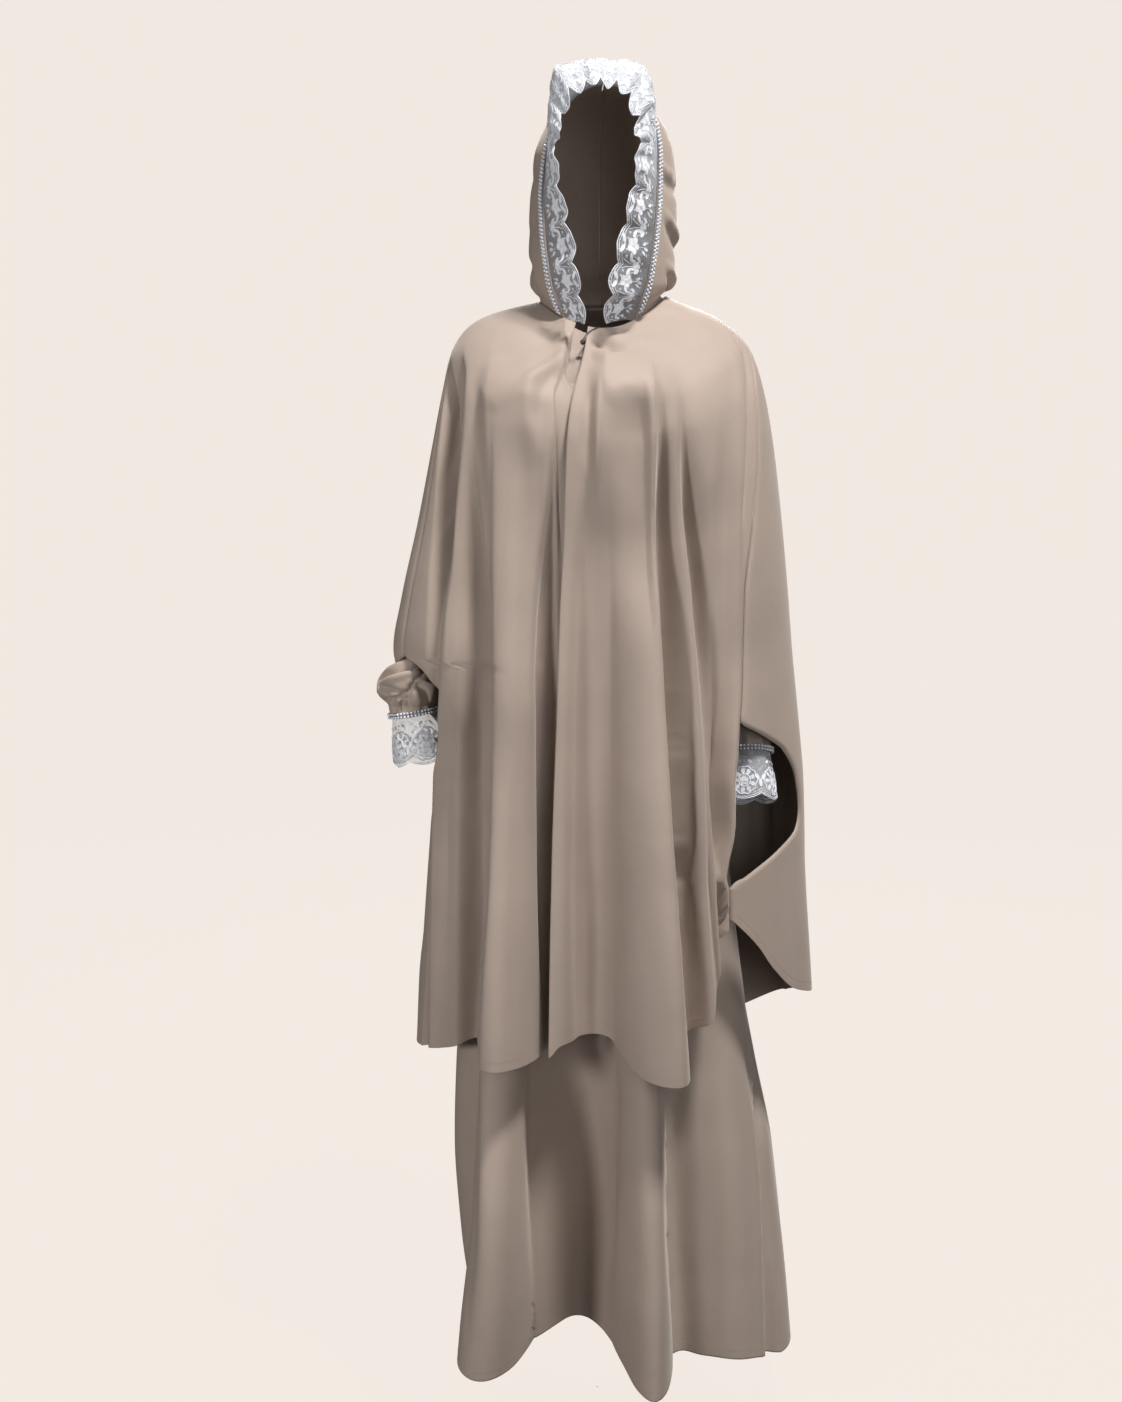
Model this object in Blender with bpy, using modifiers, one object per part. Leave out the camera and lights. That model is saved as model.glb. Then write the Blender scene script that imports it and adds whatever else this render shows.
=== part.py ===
"""A hooded abaya cloak worn over its floor-length under-dress, standing hollow in the shape it takes when worn.

Units are metres. +Z is up, -Y is the wearer's front, +X the wearer's left. The origin lies between the two
points where the neck meets the shoulders. Every cloth panel is a grid on one drape surface: rings of named
sizes down the garment, moved out and in by a table of folds. A Solidify wall then gives it thickness.
"""
import math

import bmesh
import bpy
import numpy as np

WALL = 0.0016        # cloth wall
TRIM_WALL = 0.0012   # lace wall
SEAM_GAP = 0.0004    # half of the groove left between two panels at a seam
SLANT_GAP = 0.0008   # added where the arm seams run across the fall of the cloth, over the upper arm

# ---------------------------------------------------------------- cape: rings from neck to hem
# t, left x, right x, front y, back y, left z, right z, front z, back z, squareness
CAPE_RINGS = (
    (0.000, -0.084, 0.090, -0.088, 0.060, 0.004, 0.012, -0.043, 0.012, 2.00),  # neck seam
    (0.045, -0.122, 0.120, -0.118, 0.088, -0.005, -0.001, -0.070, -0.012, 2.00),
    (0.085, -0.163, 0.150, -0.144, 0.110, -0.019, -0.013, -0.098, -0.042, 2.10),
    (0.120, -0.190, 0.181, -0.162, 0.124, -0.041, -0.034, -0.128, -0.080, 2.20),  # shoulder points
    (0.155, -0.204, 0.203, -0.176, 0.134, -0.068, -0.060, -0.160, -0.120, 2.30),
    (0.200, -0.215, 0.222, -0.183, 0.142, -0.115, -0.112, -0.200, -0.170, 2.35),  # chest
    (0.270, -0.231, 0.238, -0.181, 0.148, -0.195, -0.195, -0.260, -0.240, 2.35),
    (0.345, -0.250, 0.250, -0.176, 0.153, -0.290, -0.290, -0.330, -0.320, 2.35),
    (0.430, -0.275, 0.261, -0.174, 0.158, -0.400, -0.400, -0.400, -0.400, 2.30),
    (0.490, -0.287, 0.267, -0.175, 0.162, -0.470, -0.470, -0.470, -0.470, 2.20),  # wrists
    (0.540, -0.272, 0.273, -0.176, 0.165, -0.530, -0.530, -0.530, -0.530, 2.15),
    (0.590, -0.247, 0.279, -0.178, 0.168, -0.590, -0.590, -0.590, -0.590, 2.10),
    (0.645, -0.236, 0.284, -0.180, 0.171, -0.650, -0.650, -0.650, -0.650, 2.05),
    (0.700, -0.237, 0.286, -0.181, 0.175, -0.710, -0.710, -0.710, -0.710, 2.00),
    (0.750, -0.241, 0.287, -0.182, 0.179, -0.770, -0.770, -0.770, -0.770, 2.00),
    (1.000, -0.260, 0.298, -0.185, 0.200, -0.950, -0.950, -0.950, -0.950, 2.00),  # hem
)
HEM_ZONE = 0.750     # below this t every point slides towards the hem line
# height of the cape's hem: under the front by x, then round the back by angle (0 wearer's left, 90 back)
CAPE_HEM_FRONT = (
    (-0.260, -1.031), (-0.236, -1.019), (-0.196, -1.005), (-0.184, -0.996), (-0.166, -0.997), (-0.118, -0.999),
    (-0.080, -0.997), (-0.064, -0.993), (-0.050, -0.978), (-0.006, -0.973), (0.010, -0.975), (0.024, -0.992),
    (0.040, -1.009), (0.064, -1.013), (0.092, -1.010), (0.110, -0.992), (0.120, -0.964), (0.136, -0.950),
    (0.150, -0.908), (0.162, -0.862), (0.176, -0.820),
)
CAPE_HEM_BACK = (
    (-57, -0.820), (-47, -0.861), (-40, -0.896), (-29, -0.931), (-12, -0.951), (0, -0.958), (25, -0.988),
    (50, -1.034), (75, -1.042), (100, -1.044), (125, -1.040), (145, -1.000), (160, -0.918), (166, -0.900),
    (172, -0.930), (178, -1.010), (181, -1.034),
)
# height on the cape, angle of the left-arm seam, angle of the right-arm seam
CAPE_SEAMS = (
    (0.000, -3.0, -177.0), (0.120, -6.0, -174.0), (0.200, -24.0, -168.0), (0.270, -32.0, -163.0),
    (0.345, -40.5, -160.0), (0.430, -46.0, -158.0), (0.490, -46.6, -157.0), (0.540, -48.6, -158.0),
    (0.590, -52.0, -163.0), (0.645, -53.7, -172.0), (0.700, -53.5, -182.0), (0.750, -55.7, -190.0),
    (1.000, -57.0, -194.0),
)
# height on the cape, how far each edge of the hand openings leaves the seam, in metres
OPENING_LEFT = (   # wearer's left: only the back panel's edge swings out
    (0.566, 0.000, 0.000), (0.582, 0.045, 0.000), (0.602, 0.088, 0.000), (0.640, 0.122, 0.002),
    (0.685, 0.134, 0.002), (0.706, 0.122, 0.004), (0.724, 0.080, 0.006), (0.742, 0.036, 0.006),
    (0.757, 0.012, 0.004), (0.800, 0.000, 0.000),
)
OPENING_RIGHT = (  # wearer's right: the back edge falls behind the hand, the front edge draws in
    (0.496, 0.000, 0.000), (0.504, 0.036, 0.026), (0.518, 0.072, 0.044), (0.545, 0.104, 0.056),
    (0.600, 0.136, 0.050), (0.660, 0.140, 0.034), (0.705, 0.105, 0.018), (0.740, 0.050, 0.006),
    (0.765, 0.014, 0.001), (0.800, 0.000, 0.000),
)
# front edges: height on the cape, x of the right front's hidden edge, x of the left front's edge
CAPE_FRONT_EDGES = (
    (0.000, -0.034, -0.018), (0.045, -0.040, -0.022), (0.085, -0.034, -0.028), (0.120, -0.030, -0.036),
    (0.155, -0.030, -0.042), (0.200, -0.030, -0.046), (0.345, -0.034, -0.050), (0.490, -0.040, -0.056),
    (0.645, -0.042, -0.059), (0.750, -0.044, -0.061), (1.000, -0.046, -0.064),
)
# name, x at top, x at hem, t where it starts, t where it is full, out (+) or in (-), left width, right width,
# share of that width at the start, lean towards the wearer's left, roundness (0.5 a column, 2 a soft wave)
RIGHT_FRONT_FOLDS = (
    ("arm groove", -0.200, -0.236, 0.10, 0.30, -0.020, 0.020, 0.024, 1.0, 0.0, 2.0),
    ("side lobe", -0.186, -0.232, 0.22, 0.60, 0.016, 0.030, 0.030, 0.8, -0.2, 1.0),
    ("outer valley", -0.158, -0.184, 0.20, 1.00, -0.014, 0.018, 0.018, 1.0, 0.0, 2.0),
    ("main lobe", -0.104, -0.120, 0.17, 1.00, 0.084, 0.050, 0.044, 0.62, 0.10, 0.75),
    ("underlap step", -0.020, -0.040, 0.02, 0.12, -0.0050, 0.036, 0.060, 1.0, 0.0, 1.0),
)
LEFT_FRONT_FOLDS = (
    ("edge lobe", -0.044, -0.064, 0.20, 1.00, 0.026, 0.030, 0.034, 0.6, 0.0, 1.2),
    ("edge lift", -0.040, -0.064, 0.04, 0.14, 0.0030, 0.030, 0.040, 1.0, 0.0, 1.0),
    ("centre recess", -0.014, -0.008, 0.22, 1.00, -0.014, 0.030, 0.034, 0.8, 0.0, 1.5),
    ("main lobe", 0.036, 0.068, 0.17, 1.00, 0.080, 0.052, 0.046, 0.70, 0.16, 0.75),
    ("second lobe", 0.088, 0.132, 0.20, 1.00, 0.022, 0.020, 0.020, 0.8, 0.20, 0.9),
    ("third lobe", 0.122, 0.158, 0.24, 0.95, 0.010, 0.012, 0.014, 0.8, 0.10, 1.0),
)
# angle at top, angle at hem, t where it starts, out (+) or in (-), half width in metres, lean
BACK_FOLDS = (
    (-14, -8, 0.30, 0.006, 0.060, 0.2), (20, 14, 0.24, -0.012, 0.050, 0.0), (34, 32, 0.20, 0.022, 0.062, 0.3),
    (50, 50, 0.20, -0.020, 0.045, 0.0), (64, 68, 0.18, 0.024, 0.058, -0.3), (80, 84, 0.22, -0.018, 0.040, 0.0),
    (92, 98, 0.16, 0.026, 0.060, 0.3), (108, 112, 0.20, -0.020, 0.044, 0.0), (122, 127, 0.18, 0.022, 0.056, -0.3),
    (138, 141, 0.22, -0.016, 0.042, 0.0), (152, 156, 0.26, 0.014, 0.050, 0.2),
)

# ---------------------------------------------------------------- under-dress: rings from neck to floor hem
DRESS_RINGS = (
    (0.000, -0.074, 0.078, -0.078, 0.050, -0.0010, 0.0030, -0.052, 0.004, 2.00),  # neckline
    (0.040, -0.110, 0.104, -0.104, 0.074, -0.0068, -0.0036, -0.084, -0.012, 2.02),
    (0.080, -0.148, 0.136, -0.126, 0.094, -0.0176, -0.0120, -0.120, -0.046, 2.15),  # shoulder points
    (0.130, -0.154, 0.146, -0.142, 0.104, -0.090, -0.090, -0.170, -0.120, 2.40),
    (0.190, -0.148, 0.146, -0.148, 0.112, -0.180, -0.180, -0.230, -0.200, 2.40),  # underarm
    (0.280, -0.142, 0.146, -0.144, 0.110, -0.310, -0.310, -0.330, -0.320, 2.30),
    (0.400, -0.150, 0.156, -0.138, 0.112, -0.480, -0.480, -0.480, -0.480, 2.30),
    (0.560, -0.170, 0.176, -0.138, 0.120, -0.700, -0.700, -0.700, -0.700, 2.35),
    (0.720, -0.192, 0.204, -0.140, 0.128, -0.940, -0.940, -0.940, -0.940, 2.45),
    (0.800, -0.203, 0.226, -0.144, 0.136, -1.060, -1.060, -1.060, -1.060, 2.55),
    (0.870, -0.206, 0.249, -0.149, 0.146, -1.170, -1.170, -1.170, -1.170, 2.70),
    (0.940, -0.197, 0.266, -0.155, 0.158, -1.290, -1.290, -1.290, -1.290, 2.85),
    (1.000, -0.180, 0.277, -0.160, 0.170, -1.400, -1.400, -1.400, -1.400, 3.00),  # hem
)
DRESS_HEM_ZONE = 0.870
DRESS_HEM_FRONT = (
    (-0.180, -1.418), (-0.171, -1.412), (-0.150, -1.418), (-0.127, -1.421), (-0.105, -1.416), (-0.088, -1.404),
    (-0.060, -1.404), (-0.030, -1.407), (0.002, -1.406), (0.022, -1.412), (0.038, -1.430), (0.056, -1.436),
    (0.076, -1.432), (0.094, -1.422), (0.135, -1.422), (0.193, -1.434), (0.250, -1.448), (0.276, -1.454),
)
DRESS_HEM_BACK = ((0, -1.454), (30, -1.440), (60, -1.430), (90, -1.424), (120, -1.428), (150, -1.424), (180, -1.418))
DRESS_FRONT_FOLDS = (
    ("left lobe", -0.118, -0.129, 0.50, 0.98, 0.104, 0.044, 0.042, 0.9, 0.10, 0.70),
    ("centre recess", -0.036, -0.033, 0.56, 1.00, -0.076, 0.056, 0.054, 0.8, 0.0, 1.0),
    ("right lobe", 0.040, 0.056, 0.48, 0.98, 0.092, 0.038, 0.040, 1.0, 0.12, 0.70),
    ("right valley", 0.090, 0.112, 0.60, 1.00, -0.010, 0.020, 0.030, 1.0, 0.0, 2.0),
    ("right flat", 0.112, 0.168, 0.60, 1.00, 0.008, 0.050, 0.050, 1.0, 0.0, 1.0),
    ("side valley", 0.176, 0.240, 0.60, 1.00, -0.014, 0.018, 0.020, 1.0, 0.0, 2.0),
)
DRESS_BACK_FOLDS = (
    (30, 28, 0.45, 0.018, 0.060, 0.2), (52, 50, 0.45, -0.016, 0.044, 0.0), (72, 74, 0.40, 0.024, 0.058, -0.2),
    (94, 96, 0.45, -0.018, 0.046, 0.0), (116, 118, 0.40, 0.022, 0.058, 0.2), (140, 142, 0.45, -0.014, 0.046, 0.0),
)
ARMHOLE_TOP, ARMHOLE_BOTTOM = 0.082, 0.200       # t of the shoulder point and of the underarm
ARMHOLE_FRONT, ARMHOLE_BACK = 0.052, 0.046       # how far each panel's edge leaves the side line
DRESS_WAIST = 0.44                                # t where the dress's top and skirt meet
SLEEVE_ELBOW = 0.40                               # share down the arm where a sleeve's two lengths meet

# ---------------------------------------------------------------- sleeves
# share of the length, centre x, y, z, half width across, half width front to back
RIGHT_SLEEVE = (
    (0.160, -0.192, 0.000, -0.190, 0.033, 0.052), (0.400, -0.208, 0.012, -0.310, 0.036, 0.048),
    (0.620, -0.224, -0.002, -0.405, 0.035, 0.042), (0.780, -0.238, -0.022, -0.462, 0.030, 0.036),
    (0.840, -0.2465, -0.037, -0.496, 0.0295, 0.038), (0.905, -0.258, -0.049, -0.524, 0.046, 0.046),
    (0.945, -0.2575, -0.054, -0.538, 0.036, 0.038), (0.965, -0.2575, -0.0535, -0.544, 0.0308, 0.0308),
    (1.000, -0.2558, -0.0535, -0.557, 0.0300, 0.0300),
)
LEFT_SLEEVE = (
    (0.160, 0.192, 0.000, -0.190, 0.034, 0.052), (0.400, 0.202, 0.012, -0.320, 0.037, 0.048),
    (0.620, 0.206, -0.012, -0.435, 0.036, 0.042), (0.780, 0.205, -0.036, -0.510, 0.033, 0.036),
    (0.860, 0.203, -0.052, -0.552, 0.033, 0.036), (0.915, 0.202, -0.062, -0.576, 0.035, 0.038),
    (0.945, 0.202, -0.067, -0.588, 0.032, 0.035), (0.965, 0.202, -0.069, -0.594, 0.0300, 0.0330),
    (1.000, 0.202, -0.073, -0.608, 0.0290, 0.0320),
)
CUFF_GATHERS = 11
LACE_DROP = 0.068
TAPE_WIDTH, TAPE_THICK = 0.008, 0.0022

# ---------------------------------------------------------------- hood
SEAM_X = 0.002
# face edge x, y, z, side x, y, z, centre-seam y, z
HOOD_RIGHT = (
    (-0.052, -0.086, -0.034, -0.071, -0.026, 0.003, 0.058, 0.016),   # neck seam
    (-0.062, -0.092, -0.004, -0.089, -0.020, 0.022, 0.072, 0.034),
    (-0.069, -0.092, 0.030, -0.097, -0.010, 0.043, 0.106, 0.060),    # slouch above the neck
    (-0.075, -0.082, 0.080, -0.097, 0.000, 0.092, 0.118, 0.104),
    (-0.077, -0.073, 0.128, -0.095, 0.005, 0.146, 0.116, 0.155),
    (-0.073, -0.066, 0.178, -0.090, 0.008, 0.198, 0.104, 0.206),
    (-0.063, -0.064, 0.218, -0.075, 0.004, 0.236, 0.080, 0.242),
    (-0.044, -0.068, 0.249, -0.050, -0.004, 0.264, 0.046, 0.268),
    (-0.021, -0.074, 0.266, -0.024, -0.016, 0.278, 0.012, 0.281),
    (0.0014, -0.078, 0.272, 0.0014, -0.040, 0.280, -0.010, 0.284),   # crown seam
)
HOOD_LEFT = (
    (0.040, -0.086, -0.032, 0.058, -0.026, 0.004, 0.058, 0.016),
    (0.054, -0.092, -0.004, 0.094, -0.020, 0.021, 0.072, 0.034),
    (0.062, -0.092, 0.030, 0.099, -0.010, 0.040, 0.106, 0.060),
    (0.069, -0.084, 0.080, 0.104, 0.000, 0.092, 0.118, 0.104),
    (0.073, -0.073, 0.128, 0.104, 0.005, 0.146, 0.116, 0.155),
    (0.074, -0.064, 0.182, 0.100, 0.008, 0.198, 0.104, 0.206),
    (0.068, -0.058, 0.228, 0.084, 0.004, 0.242, 0.080, 0.242),
    (0.048, -0.066, 0.254, 0.056, -0.004, 0.268, 0.046, 0.268),
    (0.025, -0.073, 0.268, 0.028, -0.016, 0.279, 0.012, 0.281),
    (0.0026, -0.078, 0.272, 0.0026, -0.040, 0.280, -0.010, 0.284),
)
# lace frill: middle x, y, z, free edge x, y, z, from the wearer's right neck over the crown to the left neck
LACE_ROWS = (
    (-0.040, -0.112, -0.036, -0.018, -0.122, -0.044), (-0.052, -0.118, -0.006, -0.026, -0.136, -0.008),
    (-0.060, -0.120, 0.030, -0.032, -0.140, 0.034), (-0.066, -0.114, 0.080, -0.042, -0.138, 0.084),
    (-0.070, -0.106, 0.130, -0.054, -0.134, 0.132), (-0.070, -0.100, 0.186, -0.060, -0.132, 0.180),
    (-0.069, -0.098, 0.246, -0.056, -0.132, 0.222), (-0.060, -0.100, 0.286, -0.042, -0.134, 0.250),
    (-0.030, -0.102, 0.294, -0.022, -0.136, 0.262), (-0.002, -0.104, 0.295, -0.004, -0.137, 0.264),
    (0.028, -0.102, 0.294, 0.016, -0.136, 0.260), (0.056, -0.100, 0.284, 0.034, -0.134, 0.246),
    (0.066, -0.098, 0.244, 0.044, -0.132, 0.218), (0.065, -0.100, 0.190, 0.044, -0.132, 0.184),
    (0.062, -0.106, 0.130, 0.036, -0.134, 0.132), (0.056, -0.114, 0.080, 0.024, -0.138, 0.084),
    (0.048, -0.120, 0.030, 0.012, -0.140, 0.034), (0.040, -0.118, -0.006, 0.004, -0.136, -0.008),
    (0.026, -0.112, -0.036, 0.000, -0.122, -0.044),
)
BUTTON_AT, BUTTON_SIZE = (-0.0253, -0.1120, -0.0640), 0.0036
LOOP_PATH = ((-0.004, -0.0899, -0.0416), (-0.013, -0.0945, -0.0461), (-0.0205, -0.1035, -0.0530),
             (-0.0245, -0.1096, -0.0598))
LOOP_SIZE = 0.0009


# ---------------------------------------------------------------- curves through table rows
def smooth_columns(keys, columns, at):
    """A curve through the rows that never swings past them: monotone cubic pieces, one per column."""
    keys, columns = np.asarray(keys, float), np.asarray(columns, float)
    at = np.clip(np.atleast_1d(at).astype(float), keys[0], keys[-1])
    step = np.diff(keys)[:, None]
    slope = np.diff(columns, axis=0) / step
    tangent = np.zeros_like(columns)
    tangent[0], tangent[-1] = slope[0], slope[-1]
    before, after = slope[:-1], slope[1:]
    weight_a, weight_b = 2 * step[1:] + step[:-1], step[1:] + 2 * step[:-1]
    same_way = before * after > 0
    safe_before, safe_after = np.where(same_way, before, 1.0), np.where(same_way, after, 1.0)
    mean = (weight_a + weight_b) / (weight_a / safe_before + weight_b / safe_after)
    tangent[1:-1] = np.where(same_way, mean, 0.0)
    i = np.clip(np.searchsorted(keys, at, side="right") - 1, 0, len(keys) - 2)
    h = (keys[i + 1] - keys[i])[:, None]
    u = ((at - keys[i])[:, None]) / h
    return ((2 * u**3 - 3 * u**2 + 1) * columns[i] + (u**3 - 2 * u**2 + u) * h * tangent[i]
            + (-2 * u**3 + 3 * u**2) * columns[i + 1] + (u**3 - u**2) * h * tangent[i + 1])


def from_table(table, at):
    rows = np.asarray(table, float)
    return smooth_columns(rows[:, 0], rows[:, 1:], at)


def smoothstep(value, low, high):
    u = np.clip((value - low) / (high - low), 0.0, 1.0)
    return u * u * (3 - 2 * u)


# ---------------------------------------------------------------- the drape surface
class Ring:
    """One level of a garment: its outline by angle, with the length along it measured from the front centre."""

    def __init__(self, rings, t):
        left, right, front, back, zl, zr, zf, zb, square = from_table(rings, t)[0]
        self.angle = np.radians(np.linspace(-280.0, 280.0, 1681))
        c, s = np.cos(self.angle), np.sin(self.angle)
        power = 2.0 / square
        self.x = (left + right) / 2 + (right - left) / 2 * np.sign(c) * np.abs(c) ** power
        self.y = np.where(s < 0, -front, back) * np.sign(s) * np.abs(s) ** power
        self.z = np.where(c > 0, zr, zl) * c * c + np.where(s < 0, zf, zb) * s * s
        steps = np.hypot(np.diff(self.x), np.diff(self.y))
        self.along = np.concatenate([[0.0], np.cumsum(steps)])
        self.along -= np.interp(math.radians(-90), self.angle, self.along)
        self.front = (self.angle >= -math.pi) & (self.angle <= 0)

    def along_at_angle(self, degrees):
        return np.interp(np.radians(degrees), self.angle, self.along)

    def along_at_x(self, x):
        return np.interp(x, self.x[self.front], self.along[self.front])

    def points(self, along):
        x, y, z = (np.interp(along, self.along, v) for v in (self.x, self.y, self.z))
        d = 0.004
        tx = np.interp(along + d, self.along, self.x) - np.interp(along - d, self.along, self.x)
        ty = np.interp(along + d, self.along, self.y) - np.interp(along - d, self.along, self.y)
        size = np.maximum(np.hypot(tx, ty), 1e-9)
        return np.stack([x, y, z], -1), np.stack([ty / size, -tx / size, np.zeros_like(x)], -1)

    def angles(self, along):
        return np.degrees(np.interp(along, self.along, self.angle))


def bump(offset, left, right, roundness):
    """One fold's cross-section: 1 on its crest, 0 past its width on each side, with a width for each side."""
    q = np.where(offset < 0, offset / left, offset / right)
    return np.where(np.abs(q) < 1, np.cos(np.clip(q, -1, 1) * math.pi / 2) ** roundness, 0.0)


def front_relief(folds, ring, t, along):
    """How far the folds of a front panel push its points out, and how far they lean along the ring."""
    out, lean = np.zeros_like(along), np.zeros_like(along)
    for _, x_top, x_hem, start, full, depth, left, right, narrow, slant, roundness in folds:
        grown = float(smoothstep(t, start, full))
        if not grown:
            continue
        crest = ring.along_at_x(x_top + (x_hem - x_top) * t)
        width = narrow + (1 - narrow) * grown
        push = depth * grown * bump(along - crest, left * width, right * width, roundness)
        out += push
        lean += slant * push
    return out, lean


def back_relief(folds, ring, t, along):
    out, lean = np.zeros_like(along), np.zeros_like(along)
    for top, hem, start, depth, width, slant in folds:
        grown = float(smoothstep(t, start, 1.0))
        if not grown:
            continue
        crest = ring.along_at_angle(top + (hem - top) * t)
        push = depth * grown * bump(along - crest, width, width, 1.2)
        out += push
        lean += slant * push
    return out, lean


def hem_height(hem, ring, along):
    """The hem line's height: under the front it follows x, round the back it follows the angle."""
    front, back = (np.asarray(rows, float) for rows in hem)
    degrees = np.mod(ring.angles(along) + 200.0, 360.0) - 200.0
    x = np.interp(along, ring.along, ring.x)
    by_x = smooth_columns(front[:, 0], front[:, 1:], x)[:, 0]
    by_angle = smooth_columns(back[:, 0], back[:, 1:], np.where(degrees < -150, degrees + 360, degrees))[:, 0]
    under_front = (degrees < back[0, 0]) & (degrees > back[-1, 0] - 360)
    return np.where(under_front, by_x, by_angle)


def panel_row(garment, t, low, high, columns, relief, seams=(None, None)):
    """Points across one panel at one level, from `low` to `high` along the ring. Folds die away at its seams."""
    rings, zone, zone_z, hem = garment
    ring = Ring(rings, t)
    along = low + (high - low) * columns
    out, lean = relief(ring, t, along)
    for seam in seams:
        if seam is not None:
            near = smoothstep(np.abs(along - seam), 0.0, 0.018)
            out, lean = out * near, lean * near
    base, normal = ring.points(along + lean)
    if t > zone:
        base[:, 2] = zone_z + (hem_height(hem, ring, along) - zone_z) * (t - zone) / (1 - zone)
    return base + normal * out[:, None]


def even_columns(row_at, count):
    """Columns that split a row into steps of equal length, so that deep folds get their share."""
    fine = np.linspace(0, 1, 801)
    points = row_at(fine)
    length = np.concatenate([[0.0], np.cumsum(np.linalg.norm(np.diff(points, axis=0), axis=1))])
    return np.interp(np.linspace(0, length[-1], count), length, fine)


CAPE = (CAPE_RINGS, HEM_ZONE, -0.770, (CAPE_HEM_FRONT, CAPE_HEM_BACK))
DRESS = (DRESS_RINGS, DRESS_HEM_ZONE, -1.170, (DRESS_HEM_FRONT, DRESS_HEM_BACK))


# ---------------------------------------------------------------- meshes
# name: colour, roughness, metallic
FINISHES = {
    "taupe_crepe": ((0.42, 0.33, 0.27, 1.0), 0.55, 0.0),
    "white_lace": ((0.80, 0.82, 0.85, 1.0), 0.80, 0.0),
    "silver_beads": ((0.74, 0.76, 0.78, 1.0), 0.25, 0.6),
    "dark_button": ((0.10, 0.08, 0.07, 1.0), 0.35, 0.0),
}


def finish(name):
    found = bpy.data.materials.get(name)
    if found:
        return found
    colour, roughness, metallic = FINISHES[name]
    made = bpy.data.materials.new(name)
    made.use_nodes = True
    shader = made.node_tree.nodes["Principled BSDF"]
    shader.inputs["Base Color"].default_value = colour
    shader.inputs["Roughness"].default_value = roughness
    shader.inputs["Metallic"].default_value = metallic
    return made


def place(name, data, look):
    """Adds one named sub-part to the garment's collection, under the wearer's shoulders."""
    obj = bpy.data.objects.new(name, data)
    bpy.data.collections["abaya_cloak"].objects.link(obj)
    obj.parent = bpy.data.objects["wearer_shoulders"]
    data.materials.append(finish(look))
    if isinstance(data, bpy.types.Mesh):
        data.shade_smooth()
    return obj


def grid_object(name, rows, wall, closed=False, look="taupe_crepe"):
    """A wall around the sheet through these rows of points; `closed` joins each row's ends into a tube."""
    rows = np.asarray(rows, float)
    down, across = rows.shape[:2]
    faces = []
    for j in range(down - 1):
        for i in range(across if closed else across - 1):
            k = (i + 1) % across
            faces.append((j * across + i, (j + 1) * across + i, (j + 1) * across + k, j * across + k))
    mesh = bpy.data.meshes.new(name)
    mesh.from_pydata([tuple(p) for p in rows.reshape(-1, 3)], [], faces)
    mesh.update()
    obj = place(name, mesh, look)
    thick = obj.modifiers.new("wall", "SOLIDIFY")
    thick.thickness, thick.offset = wall, 0.0
    thick.use_even_offset, thick.use_rim = False, True
    return obj


def solid_strip(centres, outward, across, width, thick):
    """A flat band swept along `centres`: a closed box section of this width and thickness."""
    half_w, half_t = width / 2, thick / 2
    corners = [centres + across * a * half_w + outward * b * half_t for a, b in ((-1, -1), (1, -1), (1, 1), (-1, 1))]
    return np.stack(corners, 1)


def loft(name, sections, ring_closed, look="silver_beads"):
    """A closed body through sections of equal point count; capped at both ends unless the path is a ring."""
    sections = np.asarray(sections, float)
    n, m = sections.shape[:2]
    faces = []
    for j in range(n if ring_closed else n - 1):
        k = (j + 1) % n
        for i in range(m):
            e = (i + 1) % m
            faces.append((j * m + i, j * m + e, k * m + e, k * m + i))
    if not ring_closed:
        faces.append(tuple(range(m))[::-1])
        faces.append(tuple((n - 1) * m + i for i in range(m)))
    mesh = bpy.data.meshes.new(name)
    mesh.from_pydata([tuple(p) for p in sections.reshape(-1, 3)], [], faces)
    mesh.update()
    turn_outward(mesh)
    return place(name, mesh, look)


def turn_outward(mesh):
    mesh.calc_loop_triangles()
    points = np.array([v.co for v in mesh.vertices])
    triangles = np.array([t.vertices for t in mesh.loop_triangles])
    if np.linalg.det(points[triangles]).sum() < 0:
        mesh.flip_normals()


# ---------------------------------------------------------------- cape
def cape_levels(count, extra=()):
    """Levels down the cape, closer together where the shoulders turn and where the openings end."""
    return np.unique(np.round(np.concatenate([np.linspace(0.0, 1.0, count), extra]), 4))


def opening_offsets(table, t):
    if t <= table[0][0] or t >= table[-1][0]:
        return 0.0, 0.0
    back, front = from_table(table, t)[0]
    return float(back), float(front)


def cape_edges(t):
    """Where each panel starts and ends along the ring at this level."""
    ring = Ring(CAPE_RINGS, t)
    left_angle, right_angle = from_table(CAPE_SEAMS, t)[0]
    hidden_x, edge_x = from_table(CAPE_FRONT_EDGES, t)[0]
    left, right = ring.along_at_angle(left_angle), ring.along_at_angle(right_angle)
    full = ring.along_at_angle(right_angle + 360) if right_angle + 360 < 279 else None
    gap = SEAM_GAP + SLANT_GAP * math.exp(-((t - 0.18) / 0.07) ** 2)
    left_back, left_front = opening_offsets(OPENING_LEFT, t)
    right_back, right_front = opening_offsets(OPENING_RIGHT, t)
    return {
        "right_front": (right + gap + right_front, ring.along_at_x(hidden_x), (right, None)),
        "left_front": (ring.along_at_x(edge_x), left - gap - left_front, (None, left)),
        "back": (left + gap + left_back, full - gap - right_back, (left, full)),
    }


def cape_panel(name, piece, relief, count, levels):
    def row_at(t, columns):
        low, high, seams = cape_edges(t)[piece]
        return panel_row(CAPE, t, low, high, columns, relief, seams)

    columns = even_columns(lambda fine: row_at(0.92, fine), count)
    return grid_object(name, [row_at(t, columns) for t in levels], WALL)


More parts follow.
